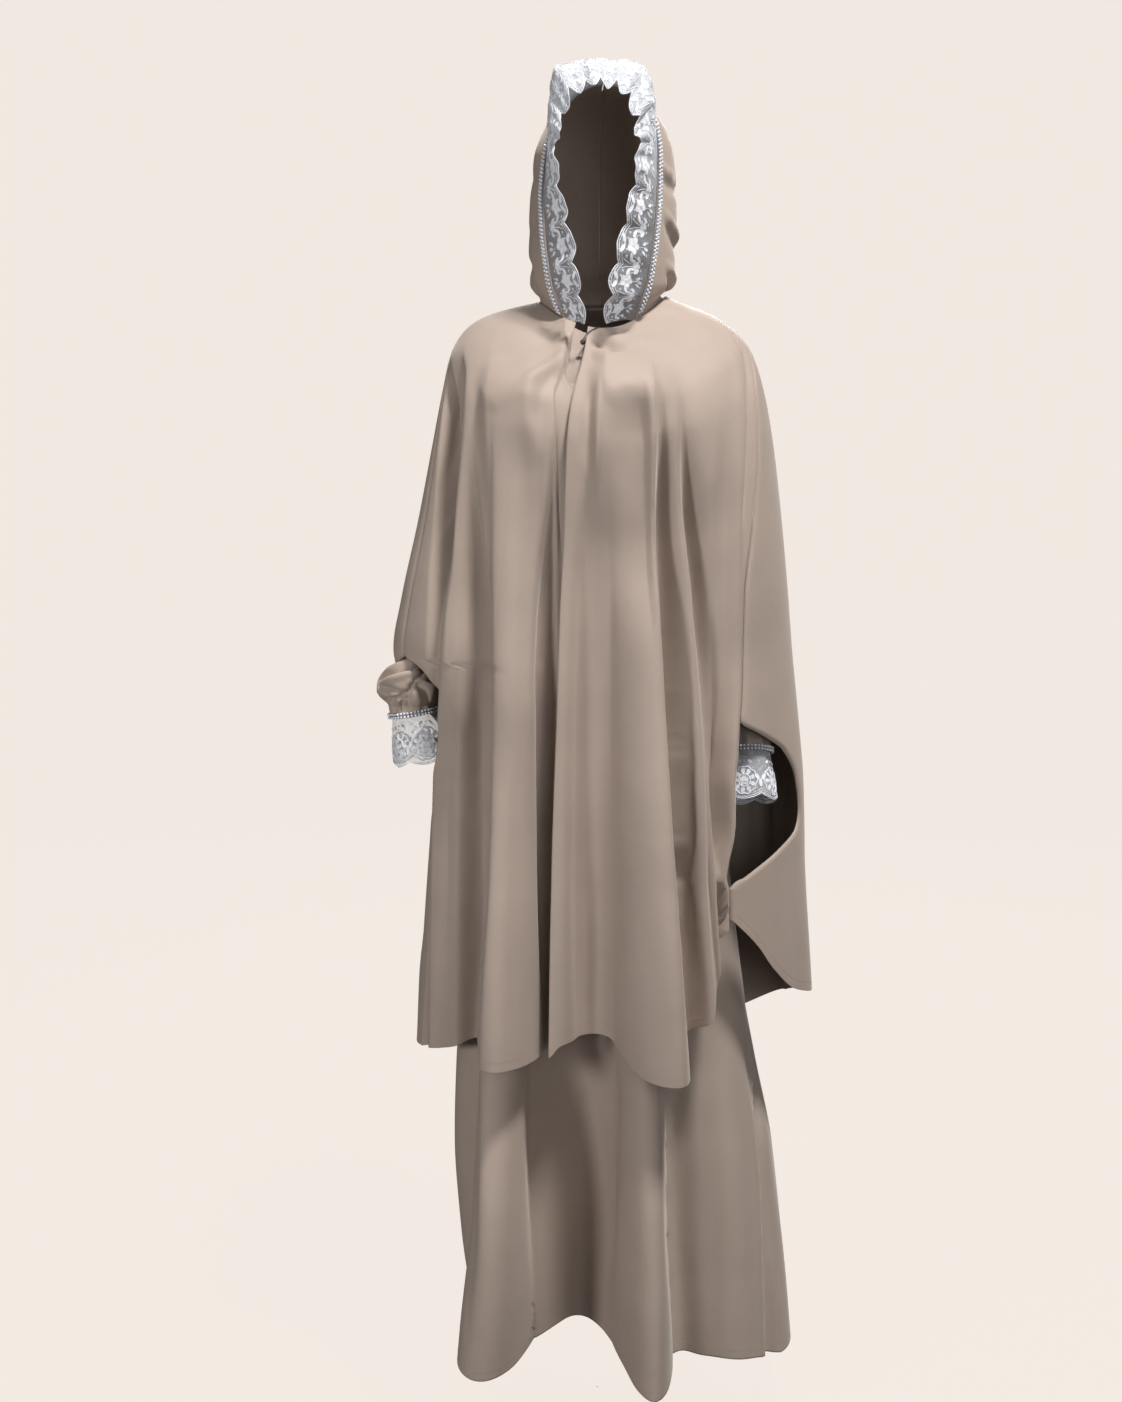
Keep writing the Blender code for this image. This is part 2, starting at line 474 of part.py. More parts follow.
def build_cape():
    near_openings = (0.02, 0.497, 0.51, 0.525, 0.575, 0.605, 0.68, 0.71, 0.73, 0.75, 0.765)
    levels = cape_levels(22, near_openings)
    cape_panel("cape_front_right", "right_front",
               lambda ring, t, along: front_relief(RIGHT_FRONT_FOLDS, ring, t, along), 25, levels)
    cape_panel("cape_front_left", "left_front",
               lambda ring, t, along: front_relief(LEFT_FRONT_FOLDS, ring, t, along), 26, levels)
    cape_panel("cape_back", "back",
               lambda ring, t, along: back_relief(BACK_FOLDS, ring, t, along), 27,
               cape_levels(17, near_openings))


# ---------------------------------------------------------------- dress
def armhole_share(t):
    """0 at the shoulder point and the underarm, 1 at the widest part of the armhole."""
    u = (t - ARMHOLE_TOP) / (ARMHOLE_BOTTOM - ARMHOLE_TOP)
    return math.sqrt(max(0.0, 1 - (2 * u - 1) ** 2)) if 0 < u < 1 else 0.0


def dress_row(t, front, columns):
    ring = Ring(DRESS_RINGS, t)
    share = armhole_share(t)
    left, right = ring.along_at_angle(0.0), ring.along_at_angle(-180.0)
    if front:
        low, high = right + SEAM_GAP + ARMHOLE_FRONT * share, left - SEAM_GAP - ARMHOLE_FRONT * share
        relief, seams = (lambda r, level, along: front_relief(DRESS_FRONT_FOLDS, r, level, along)), (left, right)
    else:
        low = left + SEAM_GAP + ARMHOLE_BACK * share
        high = ring.along_at_angle(180.0) - SEAM_GAP - ARMHOLE_BACK * share
        relief = lambda r, level, along: back_relief(DRESS_BACK_FOLDS, r, level, along)
        seams = (left, ring.along_at_angle(180.0))
    return panel_row(DRESS, t, low, high, columns, relief, seams)


def top_levels():
    """Levels of the dress from the neck to the waist, closer together round the armholes."""
    armhole = ARMHOLE_TOP + (ARMHOLE_BOTTOM - ARMHOLE_TOP) * np.array([0.0, 0.07, 0.25, 0.5, 0.75, 0.93, 1.0])
    return np.concatenate([[0.0, 0.04], armhole, np.linspace(0.28, DRESS_WAIST, 3)])


def build_dress():
    """Front and back, each in two lengths that meet at the waist."""
    for side, front, count, skirt_count in (("front", True, 26, 8), ("back", False, 15, 6)):
        columns = even_columns(lambda fine: dress_row(0.96, front, fine), count)
        top = [dress_row(t, front, columns) for t in top_levels()]
        skirt = [dress_row(t, front, columns) for t in np.linspace(DRESS_WAIST, 1.0, skirt_count)]
        top[-1][:, 2] += SEAM_GAP
        skirt[0][:, 2] -= SEAM_GAP
        grid_object(f"dress_{side}_top", top, WALL)
        grid_object(f"dress_{side}_skirt", skirt, WALL)


# ---------------------------------------------------------------- sleeves, cuffs
def armhole_ring(side, count):
    """The sleeve's top edge: the armhole's outline on the dress, pulled a little into the opening and outward."""
    ring_points = []
    for k in range(count):
        turn = 2 * math.pi * k / count
        share = abs(math.sin(turn))
        t = ARMHOLE_TOP + (ARMHOLE_BOTTOM - ARMHOLE_TOP) * (1 - math.cos(turn)) / 2
        ring = Ring(DRESS_RINGS, t)
        inset = 0.0010
        reach = (ARMHOLE_FRONT if math.sin(turn) > 0 else -ARMHOLE_BACK)
        reach = math.copysign(max(abs(reach) * share - inset, 0.0), reach)
        along = ring.along_at_angle(0.0 if side > 0 else -180.0) + (-side if side > 0 else 1) * reach
        point, normal = ring.points(np.array([along]))
        lift = 0.0022 * (1 - share) * (1 if turn < math.pi else 1)
        ring_points.append(point[0] + normal[0] * 0.0017 + np.array([0, 0, lift * math.cos(turn) * -1.5]))
    return np.array(ring_points)


def sleeve_frame(table, share):
    x, y, z, wide, deep = from_table(table, share)[0]
    ahead = from_table(table, min(share + 0.02, 1.0))[0][:3] - from_table(table, max(share - 0.02, table[0][0]))[0][:3]
    ahead /= np.linalg.norm(ahead)
    forward = np.array([0.0, -1.0, 0.0])
    forward -= ahead * forward.dot(ahead)
    forward /= np.linalg.norm(forward)
    return np.array([x, y, z]), ahead, forward, wide, deep


def cuff_section(table, share, side, count, spread=0.0, drop=0.0, ripple=0.0):
    """A ring of points across the sleeve: k = 0 points away from the body, a quarter turn on is the front."""
    centre, ahead, forward, wide, deep = sleeve_frame(table, share)
    outward = np.cross(forward, ahead)
    if outward[0] * side < 0:
        outward = -outward
    turn = np.arange(count) * 2 * math.pi / count
    gather = 1 + ripple * np.cos(turn * CUFF_GATHERS)
    return (centre + ahead * drop + outward * ((wide + spread) * gather * np.cos(turn))[:, None]
            + forward * ((deep + spread) * gather * np.sin(turn))[:, None])


def build_sleeve(side_name, table, side, count=14):
    """A sleeve in two tubes that meet above the elbow."""
    def sections(low, high):
        shares = sorted({row[0] for row in table} | {0.28, 0.51, 0.70, 0.90})
        return [cuff_section(table, share, side, count) for share in shares if low < share < high]

    top = armhole_ring(side, count)
    first = cuff_section(table, table[0][0], side, count)
    head = [top] + [top + (first - top) * share + np.array([side * 0.006, 0, 0.0]) for share in (0.35, 0.7)]
    above = cuff_section(table, SLEEVE_ELBOW, side, count, drop=-SEAM_GAP)
    below = cuff_section(table, SLEEVE_ELBOW, side, count, drop=SEAM_GAP)
    grid_object(f"sleeve_{side_name}_upper", head + [first] + sections(table[0][0], SLEEVE_ELBOW) + [above],
                WALL, closed=True)
    grid_object(f"sleeve_{side_name}_lower", [below] + sections(SLEEVE_ELBOW, 1.1), WALL, closed=True)


def build_cuff(side_name, table, side):
    count = 14
    drops = np.array([0.0006, 0.022, 0.045, LACE_DROP])
    flares = np.array([0.0000, 0.0035, 0.0055, 0.0070])
    rows = [cuff_section(table, 1.0, side, count, spread=f, drop=d) for d, f in zip(drops, flares)]
    grid_object(f"cuff_lace_{side_name}", rows, TRIM_WALL, closed=True, look="white_lace")
    outer = [cuff_section(table, 1.0, side, count, spread=s, drop=d)
             for s, d in ((0.0018, -0.0060), (0.0040, -0.0060), (0.0040, 0.0020), (0.0018, 0.0020))]
    loft(f"cuff_tape_{side_name}", np.stack(outer, 1), True)


# ---------------------------------------------------------------- hood
HOOD_NECK_ANGLES = (("hood_right", -127.0, -270.0), ("hood_left", -60.0, 90.0))


def hood_row(row, columns):
    """One row of a hood half: from the face edge, round the side, to the centre seam."""
    fx, fy, fz, sx, sy, sz, by, bz = row
    points = []
    split = 0.42
    for a in columns:
        if a < split:
            u = 1 - a / split
            points.append((sx + (fx - sx) * u * u, sy + (fy - sy) * u, sz + (fz - sz) * u ** 1.3))
        else:
            v = (a - split) / (1 - split) * math.pi / 2
            seam_x = SEAM_X + math.copysign(SEAM_GAP, sx - SEAM_X)
            points.append((seam_x + (sx - seam_x) * math.cos(v), sy + (by - sy) * math.sin(v),
                           sz + (bz - sz) * (1 - math.cos(v))))
    return np.array(points)


def hood_sheet(name, count, columns):
    """Rows of a hood half from the neck seam, where it follows the cape's neckline, up to the crown."""
    table = HOOD_RIGHT if name == "hood_right" else HOOD_LEFT
    keys = np.linspace(0, 1, len(table))
    rows = [hood_row(row, columns) for row in smooth_columns(keys, table, np.linspace(0, 1, count))]
    ring = Ring(CAPE_RINGS, 0.0)
    first, last = next(angles[1:] for angles in HOOD_NECK_ANGLES if angles[0] == name)
    side = -1 if name == "hood_right" else 1
    along = ring.along_at_angle(first + (last - first) * columns)
    neck, _ = ring.points(along)
    neck[-1, 0] = SEAM_X + side * SEAM_GAP
    rows[0] = neck + np.array([0, 0, 0.0026])
    rows[1] = rows[1] * 0.7 + (rows[0] + np.array([0, 0, 0.012])) * 0.3
    return np.array(rows)


def build_hood():
    for name in ("hood_right", "hood_left"):
        grid_object(name, hood_sheet(name, 13, np.linspace(0, 1, 11)), WALL)


def face_edge(count, column):
    """The hood at this column from the wearer's right neck, over the crown, to the left neck."""
    columns = np.array([0.0, column, 1.0])
    right = hood_sheet("hood_right", 20, columns)[:, 1]
    left = hood_sheet("hood_left", 20, columns)[::-1, 1]
    line = np.concatenate([right[:-1], [(right[-1] + left[0]) / 2], left[1:]])
    return smooth_columns(np.linspace(0, 1, len(line)), line, np.linspace(0, 1, count))


def unit_rows(vectors):
    return vectors / np.linalg.norm(vectors, axis=1)[:, None]


def build_hood_trim():
    count = 41
    edge, behind = face_edge(count, 0.0), face_edge(count, 0.05)
    band = slice(1, count - 1)
    frill = smooth_columns(np.linspace(0, 1, len(LACE_ROWS)), LACE_ROWS, np.linspace(0, 1, count))
    middle, free = frill[:, :3], frill[:, 3:]
    start = edge + unit_rows(edge - behind) * 0.0021
    rows = []
    for u in (0.0, 0.28, 0.52, 0.76, 1.0):
        bend = 2 * middle - (start + free) / 2
        rows.append((1 - u) ** 2 * start + 2 * u * (1 - u) * bend + u * u * free)
    grid_object("hood_lace", rows, TRIM_WALL, look="white_lace")
    tangent = unit_rows(np.gradient(edge, axis=0))
    across = unit_rows(edge - behind)
    outward = unit_rows(np.cross(across, tangent))
    outward *= np.sign((outward * (edge - np.array([SEAM_X, 0.02, 0.10]))).sum(1))[:, None]
    centres = edge - across * 0.0036 + outward * (WALL / 2 + TAPE_THICK / 2 + 0.0005)
    loft("hood_bead_tape", solid_strip(centres[band], outward[band], across[band], TAPE_WIDTH, TAPE_THICK), False)


# ---------------------------------------------------------------- closure
def build_closure():
    button = bpy.data.meshes.new("neck_button")
    shape = bmesh.new()
    bmesh.ops.create_uvsphere(shape, u_segments=12, v_segments=8, radius=BUTTON_SIZE)
    shape.to_mesh(button)
    shape.free()
    place("neck_button", button, "dark_button").location = BUTTON_AT
    curve = bpy.data.curves.new("neck_loop", "CURVE")
    curve.dimensions, curve.bevel_depth, curve.bevel_resolution = "3D", LOOP_SIZE, 1
    curve.use_fill_caps = True
    path = np.array(LOOP_PATH)
    line = smooth_columns(np.linspace(0, 1, len(path)), path, np.linspace(0, 1, 9))
    spline = curve.splines.new("POLY")
    spline.points.add(len(line) - 1)
    for point, place_at in zip(spline.points, line):
        point.co = (*place_at, 1.0)
    place("neck_loop", curve, "dark_button")


def clear_scene():
    for obj in list(bpy.data.objects):
        bpy.data.objects.remove(obj, do_unlink=True)


def build():
    clear_scene()
    garment = bpy.data.collections.new("abaya_cloak")
    bpy.context.scene.collection.children.link(garment)
    shoulders = bpy.data.objects.new("wearer_shoulders", None)
    garment.objects.link(shoulders)
    build_cape()
    build_dress()
    build_sleeve("right", RIGHT_SLEEVE, -1)
    build_sleeve("left", LEFT_SLEEVE, 1)
    build_cuff("right", RIGHT_SLEEVE, -1)
    build_cuff("left", LEFT_SLEEVE, 1)
    build_hood()
    build_hood_trim()
    build_closure()


build()
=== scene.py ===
"""The finished look of the hooded abaya cloak and its matching dress.

Each cloth panel is a thin shell on the drape of its solid: the same rings, folds, hems and seams as the CAD
source, on a finer grid, with creases, turned hems and sewing added. Units are metres, +Z up, -Y the front.
Right and left are the wearer's in names, and as seen from the front in ring, fold and crease tables. A level
of a garment is its t: 0 at the neck and 1 at the hem.
"""
import math

import bpy
import numpy as np
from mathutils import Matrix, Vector


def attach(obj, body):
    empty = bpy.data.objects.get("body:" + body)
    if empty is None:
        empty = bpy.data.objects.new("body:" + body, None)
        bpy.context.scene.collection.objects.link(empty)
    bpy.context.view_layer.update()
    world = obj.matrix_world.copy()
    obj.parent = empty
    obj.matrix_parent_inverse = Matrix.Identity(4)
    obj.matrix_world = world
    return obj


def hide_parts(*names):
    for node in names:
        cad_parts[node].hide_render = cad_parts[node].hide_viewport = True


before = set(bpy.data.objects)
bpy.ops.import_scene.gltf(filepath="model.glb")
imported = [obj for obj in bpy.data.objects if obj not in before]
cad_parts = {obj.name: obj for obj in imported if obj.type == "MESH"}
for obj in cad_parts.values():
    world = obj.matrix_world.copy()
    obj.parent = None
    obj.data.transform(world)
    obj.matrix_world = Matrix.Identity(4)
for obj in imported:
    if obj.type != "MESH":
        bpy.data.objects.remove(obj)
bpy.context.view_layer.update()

MM = 1000.0              # some tables are in millimetres, and say so
TINY = 1e-9
FINE = 1.0
SHELL = 0.0007           # cloth thickness
HEM_SHELL = 0.0016       # thickness where the hem is turned
HEM_WIDTH, HEM_STEP = 0.015, 0.002
HEM_ROWS = 1 - np.array([0.022, 0.0185, 0.0165, 0.015, 0.0135, 0.008, 0.003, 0.001])   # as t
HEM_ONLY = (False, True, False, False)
LEVEL_SPACE = 0.0015     # least space between two levels of a panel, as t
SEAM_GAP = 0.0001        # half of the groove between two panels at a seam
SLANT_GAP = 0.0001
FOLD_CALM = 0.018        # folds die away this close to a side seam
SEAM_CALM = 0.026        # and creases this close
SEAM_DIP, SEAM_DIP_WIDTH = -0.0028, 0.0036   # how far the cloth dips at a side seam
TANGENT_REACH = 0.004
BACK_ROUNDNESS = 1.2     # of the folds at the back
BACK_RADIUS = 0.23       # turns an angle round the garment into a length
SLEEVE_GIRTH = 0.252     # turns a share of the way round a sleeve into a length
STITCH, STITCH_SPACE, STITCH_RADIUS = 0.0030, 0.0009, 0.00022
CORD_FLAT = 0.8
CUFF_BEAD, CUFF_BEAD_GAP = 0.0018, 0.0050
HOOD_BEAD, HOOD_BEAD_GAP = 0.0019, 0.0052
WREATH = 0.0085          # radius of a ring of leaves
CROWN_DROP, CROWN_DRAW = 0.013, 0.14   # how far the frill falls over the crown, and how much it draws in
BACKDROP = (0.896, 0.823, 0.767)

# ---------------------------------------------------------------- cape: rings from neck to hem
# t, left x, right x, front y, back y, left z, right z, front z, back z, squareness
CAPE_RINGS = (
    (0.000, -0.084, 0.090, -0.088, 0.060, 0.004, 0.012, -0.043, 0.012, 2.00),  # neck seam
    (0.045, -0.122, 0.120, -0.118, 0.088, -0.005, -0.001, -0.070, -0.012, 2.00),
    (0.085, -0.163, 0.150, -0.144, 0.110, -0.019, -0.013, -0.098, -0.042, 2.10),
    (0.120, -0.190, 0.181, -0.162, 0.124, -0.041, -0.034, -0.128, -0.080, 2.20),  # shoulder points
    (0.155, -0.204, 0.203, -0.176, 0.134, -0.068, -0.060, -0.160, -0.120, 2.30),
    (0.200, -0.215, 0.222, -0.183, 0.142, -0.115, -0.112, -0.200, -0.170, 2.35),  # chest
    (0.270, -0.231, 0.238, -0.181, 0.148, -0.195, -0.195, -0.260, -0.240, 2.35),
    (0.345, -0.250, 0.250, -0.176, 0.153, -0.290, -0.290, -0.330, -0.320, 2.35),
    (0.430, -0.275, 0.261, -0.174, 0.158, -0.400, -0.400, -0.400, -0.400, 2.30),
    (0.490, -0.287, 0.267, -0.175, 0.162, -0.470, -0.470, -0.470, -0.470, 2.20),  # wrists
    (0.540, -0.272, 0.273, -0.176, 0.165, -0.530, -0.530, -0.530, -0.530, 2.15),
    (0.590, -0.247, 0.279, -0.178, 0.168, -0.590, -0.590, -0.590, -0.590, 2.10),
    (0.645, -0.236, 0.284, -0.180, 0.171, -0.650, -0.650, -0.650, -0.650, 2.05),
    (0.700, -0.237, 0.286, -0.181, 0.175, -0.710, -0.710, -0.710, -0.710, 2.00),
    (0.750, -0.241, 0.287, -0.182, 0.179, -0.770, -0.770, -0.770, -0.770, 2.00),
    (1.000, -0.260, 0.298, -0.185, 0.200, -0.950, -0.950, -0.950, -0.950, 2.00),  # hem
)
HEM_ZONE = 0.750     # below this t every point slides towards the hem line
# height of the cape's hem: under the front by x, then round the back by angle (0 wearer's left, 90 back)
CAPE_HEM_FRONT = (
    (-0.260, -1.031), (-0.236, -1.019), (-0.196, -1.005), (-0.184, -0.996), (-0.166, -0.997),
    (-0.118, -0.999), (-0.080, -0.997), (-0.064, -0.993), (-0.050, -0.978), (-0.006, -0.973), (0.010, -0.975),
    (0.024, -0.992), (0.040, -1.009), (0.064, -1.013), (0.092, -1.010), (0.110, -0.992), (0.120, -0.964),
    (0.136, -0.950), (0.150, -0.908), (0.162, -0.862), (0.176, -0.820),
)
CAPE_HEM_BACK = (
    (-57, -0.820), (-47, -0.861), (-40, -0.896), (-29, -0.931), (-12, -0.951), (0, -0.958), (25, -0.988),
    (50, -1.034), (75, -1.042), (100, -1.044), (125, -1.040), (145, -1.000), (160, -0.918), (166, -0.900),
    (172, -0.930), (178, -1.010), (181, -1.034),
)
# t, angle of the seam at the wearer's left arm, angle of the one at the right arm
CAPE_SEAMS = (
    (0.000, -3.0, -177.0), (0.120, -6.0, -174.0), (0.200, -24.0, -168.0), (0.270, -32.0, -163.0),
    (0.345, -40.5, -160.0), (0.430, -46.0, -158.0), (0.490, -46.6, -157.0), (0.540, -48.6, -158.0),
    (0.590, -52.0, -163.0), (0.645, -53.7, -172.0), (0.700, -53.5, -182.0), (0.750, -55.7, -190.0),
    (1.000, -57.0, -194.0),
)
# t, how far the back's and the front's edge leave the seam at a hand opening
OPENING_LEFT = (   # mostly the back panel's edge swings out
    (0.566, 0.000, 0.000), (0.582, 0.045, 0.000), (0.602, 0.088, 0.000), (0.640, 0.122, 0.002),
    (0.685, 0.134, 0.002), (0.706, 0.122, 0.004), (0.724, 0.080, 0.006), (0.742, 0.036, 0.006),
    (0.757, 0.012, 0.004), (0.800, 0.000, 0.000),
)
OPENING_RIGHT = (  # the back edge falls behind the hand, the front edge draws in
    (0.496, 0.000, 0.000), (0.504, 0.036, 0.026), (0.518, 0.072, 0.044), (0.545, 0.104, 0.056),
    (0.600, 0.136, 0.050), (0.660, 0.140, 0.034), (0.705, 0.105, 0.018), (0.740, 0.050, 0.006),
    (0.765, 0.014, 0.001), (0.800, 0.000, 0.000),
)
# front edges: t, x of the right front's hidden edge, x of the left front's edge
CAPE_FRONT_EDGES = (
    (0.000, -0.034, -0.018), (0.045, -0.040, -0.022), (0.085, -0.034, -0.028), (0.120, -0.030, -0.036),
    (0.155, -0.030, -0.042), (0.200, -0.030, -0.046), (0.345, -0.034, -0.050), (0.490, -0.040, -0.056),
    (0.645, -0.042, -0.059), (0.750, -0.044, -0.061), (1.000, -0.046, -0.064),
)
# name, x at top, x at hem, t where it starts, t where it is full, out (+) or in (-), left width, right width,
# share of that width at the start, lean to the right, roundness (0.5 a column, 2 a soft wave)
RIGHT_FRONT_FOLDS = (
    ("arm groove", -0.200, -0.236, 0.10, 0.30, -0.020, 0.020, 0.024, 1.0, 0.0, 2.0),
    ("side lobe", -0.186, -0.232, 0.22, 0.60, 0.016, 0.030, 0.030, 0.8, -0.2, 1.0),
    ("outer valley", -0.158, -0.184, 0.20, 1.00, -0.014, 0.018, 0.018, 1.0, 0.0, 2.0),
    ("main lobe", -0.104, -0.120, 0.17, 1.00, 0.084, 0.050, 0.044, 0.62, 0.10, 0.75),
    ("underlap step", -0.020, -0.040, 0.02, 0.12, -0.0050, 0.036, 0.060, 1.0, 0.0, 1.0),
)
LEFT_FRONT_FOLDS = (
    ("edge lobe", -0.044, -0.064, 0.20, 1.00, 0.026, 0.030, 0.034, 0.6, 0.0, 1.2),
    ("edge lift", -0.040, -0.064, 0.04, 0.14, 0.0030, 0.030, 0.040, 1.0, 0.0, 1.0),
    ("centre recess", -0.014, -0.008, 0.22, 1.00, -0.014, 0.030, 0.034, 0.8, 0.0, 1.5),
    ("main lobe", 0.036, 0.068, 0.17, 1.00, 0.080, 0.052, 0.046, 0.70, 0.16, 0.75),
    ("second lobe", 0.088, 0.132, 0.20, 1.00, 0.022, 0.020, 0.020, 0.8, 0.20, 0.9),
    ("third lobe", 0.122, 0.158, 0.24, 0.95, 0.010, 0.012, 0.014, 0.8, 0.10, 1.0),
)
# angle at top, angle at hem, t where it starts, out (+) or in (-), half width in metres, lean
BACK_FOLDS = (
    (-14, -8, 0.30, 0.006, 0.060, 0.2), (20, 14, 0.24, -0.012, 0.050, 0.0), (34, 32, 0.20, 0.022, 0.062, 0.3),
    (50, 50, 0.20, -0.020, 0.045, 0.0), (64, 68, 0.18, 0.024, 0.058, -0.3),
    (80, 84, 0.22, -0.018, 0.040, 0.0), (92, 98, 0.16, 0.026, 0.060, 0.3),
    (108, 112, 0.20, -0.020, 0.044, 0.0), (122, 127, 0.18, 0.022, 0.056, -0.3),
    (138, 141, 0.22, -0.016, 0.042, 0.0), (152, 156, 0.26, 0.014, 0.050, 0.2),
)

# ---------------------------------------------------------------- under-dress: rings from neck to floor hem
DRESS_RINGS = (
    (0.000, -0.074, 0.078, -0.078, 0.050, -0.0010, 0.0030, -0.052, 0.004, 2.00),  # neckline
    (0.040, -0.110, 0.104, -0.104, 0.074, -0.0068, -0.0036, -0.084, -0.012, 2.02),
    (0.080, -0.148, 0.136, -0.126, 0.094, -0.0176, -0.0120, -0.120, -0.046, 2.15),  # shoulder points
    (0.130, -0.154, 0.146, -0.142, 0.104, -0.090, -0.090, -0.170, -0.120, 2.40),
    (0.190, -0.148, 0.146, -0.148, 0.112, -0.180, -0.180, -0.230, -0.200, 2.40),  # underarm
    (0.280, -0.142, 0.146, -0.144, 0.110, -0.310, -0.310, -0.330, -0.320, 2.30),
    (0.400, -0.150, 0.156, -0.138, 0.112, -0.480, -0.480, -0.480, -0.480, 2.30),
    (0.560, -0.170, 0.176, -0.138, 0.120, -0.700, -0.700, -0.700, -0.700, 2.35),
    (0.720, -0.192, 0.204, -0.140, 0.128, -0.940, -0.940, -0.940, -0.940, 2.45),
    (0.800, -0.203, 0.226, -0.144, 0.136, -1.060, -1.060, -1.060, -1.060, 2.55),
    (0.870, -0.206, 0.249, -0.149, 0.146, -1.170, -1.170, -1.170, -1.170, 2.70),
    (0.940, -0.197, 0.266, -0.155, 0.158, -1.290, -1.290, -1.290, -1.290, 2.85),
    (1.000, -0.180, 0.277, -0.160, 0.170, -1.400, -1.400, -1.400, -1.400, 3.00),  # hem
)
DRESS_HEM_ZONE = 0.870
DRESS_HEM_FRONT = (
    (-0.180, -1.418), (-0.171, -1.412), (-0.150, -1.418), (-0.127, -1.421), (-0.105, -1.416),
    (-0.088, -1.404), (-0.060, -1.404), (-0.030, -1.407), (0.002, -1.406), (0.022, -1.412), (0.038, -1.430),
    (0.056, -1.436), (0.076, -1.432), (0.094, -1.422), (0.135, -1.422), (0.193, -1.434), (0.250, -1.448),
    (0.276, -1.454),
)
DRESS_HEM_BACK = (
    (0, -1.454), (30, -1.440), (60, -1.430), (90, -1.424), (120, -1.428), (150, -1.424), (180, -1.418),
)
DRESS_FRONT_FOLDS = (
    ("left lobe", -0.118, -0.129, 0.50, 0.98, 0.104, 0.044, 0.042, 0.9, 0.10, 0.70),
    ("centre recess", -0.036, -0.033, 0.56, 1.00, -0.076, 0.056, 0.054, 0.8, 0.0, 1.0),
    ("right lobe", 0.040, 0.056, 0.48, 0.98, 0.092, 0.038, 0.040, 1.0, 0.12, 0.70),
    ("right valley", 0.090, 0.112, 0.60, 1.00, -0.010, 0.020, 0.030, 1.0, 0.0, 2.0),
    ("right flat", 0.112, 0.168, 0.60, 1.00, 0.008, 0.050, 0.050, 1.0, 0.0, 1.0),
    ("side valley", 0.176, 0.240, 0.60, 1.00, -0.014, 0.018, 0.020, 1.0, 0.0, 2.0),
)
DRESS_BACK_FOLDS = (
    (30, 28, 0.45, 0.018, 0.060, 0.2), (52, 50, 0.45, -0.016, 0.044, 0.0), (72, 74, 0.40, 0.024, 0.058, -0.2),
    (94, 96, 0.45, -0.018, 0.046, 0.0), (116, 118, 0.40, 0.022, 0.058, 0.2),
    (140, 142, 0.45, -0.014, 0.046, 0.0),
)
ARMHOLE_TOP, ARMHOLE_BOTTOM = 0.082, 0.200       # t of the shoulder point and of the underarm
ARMHOLE_FRONT, ARMHOLE_BACK = 0.052, 0.046       # how far each panel's edge leaves the side line

# ---------------------------------------------------------------- sleeves
# share of the length, centre x, y, z, half width across, half width front to back
RIGHT_SLEEVE = (
    (0.160, -0.192, 0.000, -0.190, 0.033, 0.052), (0.400, -0.208, 0.012, -0.310, 0.036, 0.048),
    (0.620, -0.224, -0.002, -0.405, 0.035, 0.042), (0.780, -0.238, -0.022, -0.462, 0.030, 0.036),
    (0.840, -0.2465, -0.037, -0.496, 0.0295, 0.038), (0.905, -0.258, -0.049, -0.524, 0.046, 0.046),
    (0.945, -0.2575, -0.054, -0.538, 0.036, 0.038), (0.965, -0.2575, -0.0535, -0.544, 0.0308, 0.0308),
    (1.000, -0.2558, -0.0535, -0.557, 0.0300, 0.0300),
)
LEFT_SLEEVE = (
    (0.160, 0.192, 0.000, -0.190, 0.034, 0.052), (0.400, 0.202, 0.012, -0.320, 0.037, 0.048),
    (0.620, 0.206, -0.012, -0.435, 0.036, 0.042), (0.780, 0.205, -0.036, -0.510, 0.033, 0.036),
    (0.860, 0.203, -0.052, -0.552, 0.033, 0.036), (0.915, 0.202, -0.062, -0.576, 0.035, 0.038),
    (0.945, 0.202, -0.067, -0.588, 0.032, 0.035), (0.965, 0.202, -0.069, -0.594, 0.0300, 0.0330),
    (1.000, 0.202, -0.073, -0.608, 0.0290, 0.0320),
)
CUFF_GATHERS = 11
LACE_DROP = 0.068
TAPE_WIDTH, TAPE_THICK = 0.008, 0.0022

# ---------------------------------------------------------------- hood
SEAM_X = 0.002
HOOD_SEAM_GAP = 0.00005
HOOD_SPLIT = 0.42        # share across a hood half where its side lies
# in millimetres: face edge x, y, z, side x, y, z, centre-seam y, z
HOOD_RIGHT = (
    (-52, -86, -34, -71, -26, 3, 58, 16),   # neck seam
    (-62, -92, -4, -89, -20, 22, 72, 34),
    (-69, -92, 30, -97, -10, 43, 106, 60),    # slouch above the neck
    (-75, -82, 80, -97, 0, 92, 118, 104),
    (-77, -73, 128, -95, 5, 146, 116, 155),
    (-73, -66, 178, -90, 8, 198, 104, 206),
    (-63, -64, 218, -75, 4, 236, 80, 242),
    (-44, -68, 249, -50, -4, 264, 46, 268),
    (-21, -74, 266, -24, -16, 278, 12, 281),
    (1.4, -78, 272, 1.4, -40, 280, -10, 284),   # crown seam
)
HOOD_LEFT = (
    (40, -86, -32, 58, -26, 4, 58, 16),
    (54, -92, -4, 94, -20, 21, 72, 34),
    (62, -92, 30, 99, -10, 40, 106, 60),
    (69, -84, 80, 104, 0, 92, 118, 104),
    (73, -73, 128, 104, 5, 146, 116, 155),
    (74, -64, 182, 100, 8, 198, 104, 206),
    (68, -58, 228, 84, 4, 242, 80, 242),
    (48, -66, 254, 56, -4, 268, 46, 268),
    (25, -73, 268, 28, -16, 279, 12, 281),
    (2.6, -78, 272, 2.6, -40, 280, -10, 284),
)
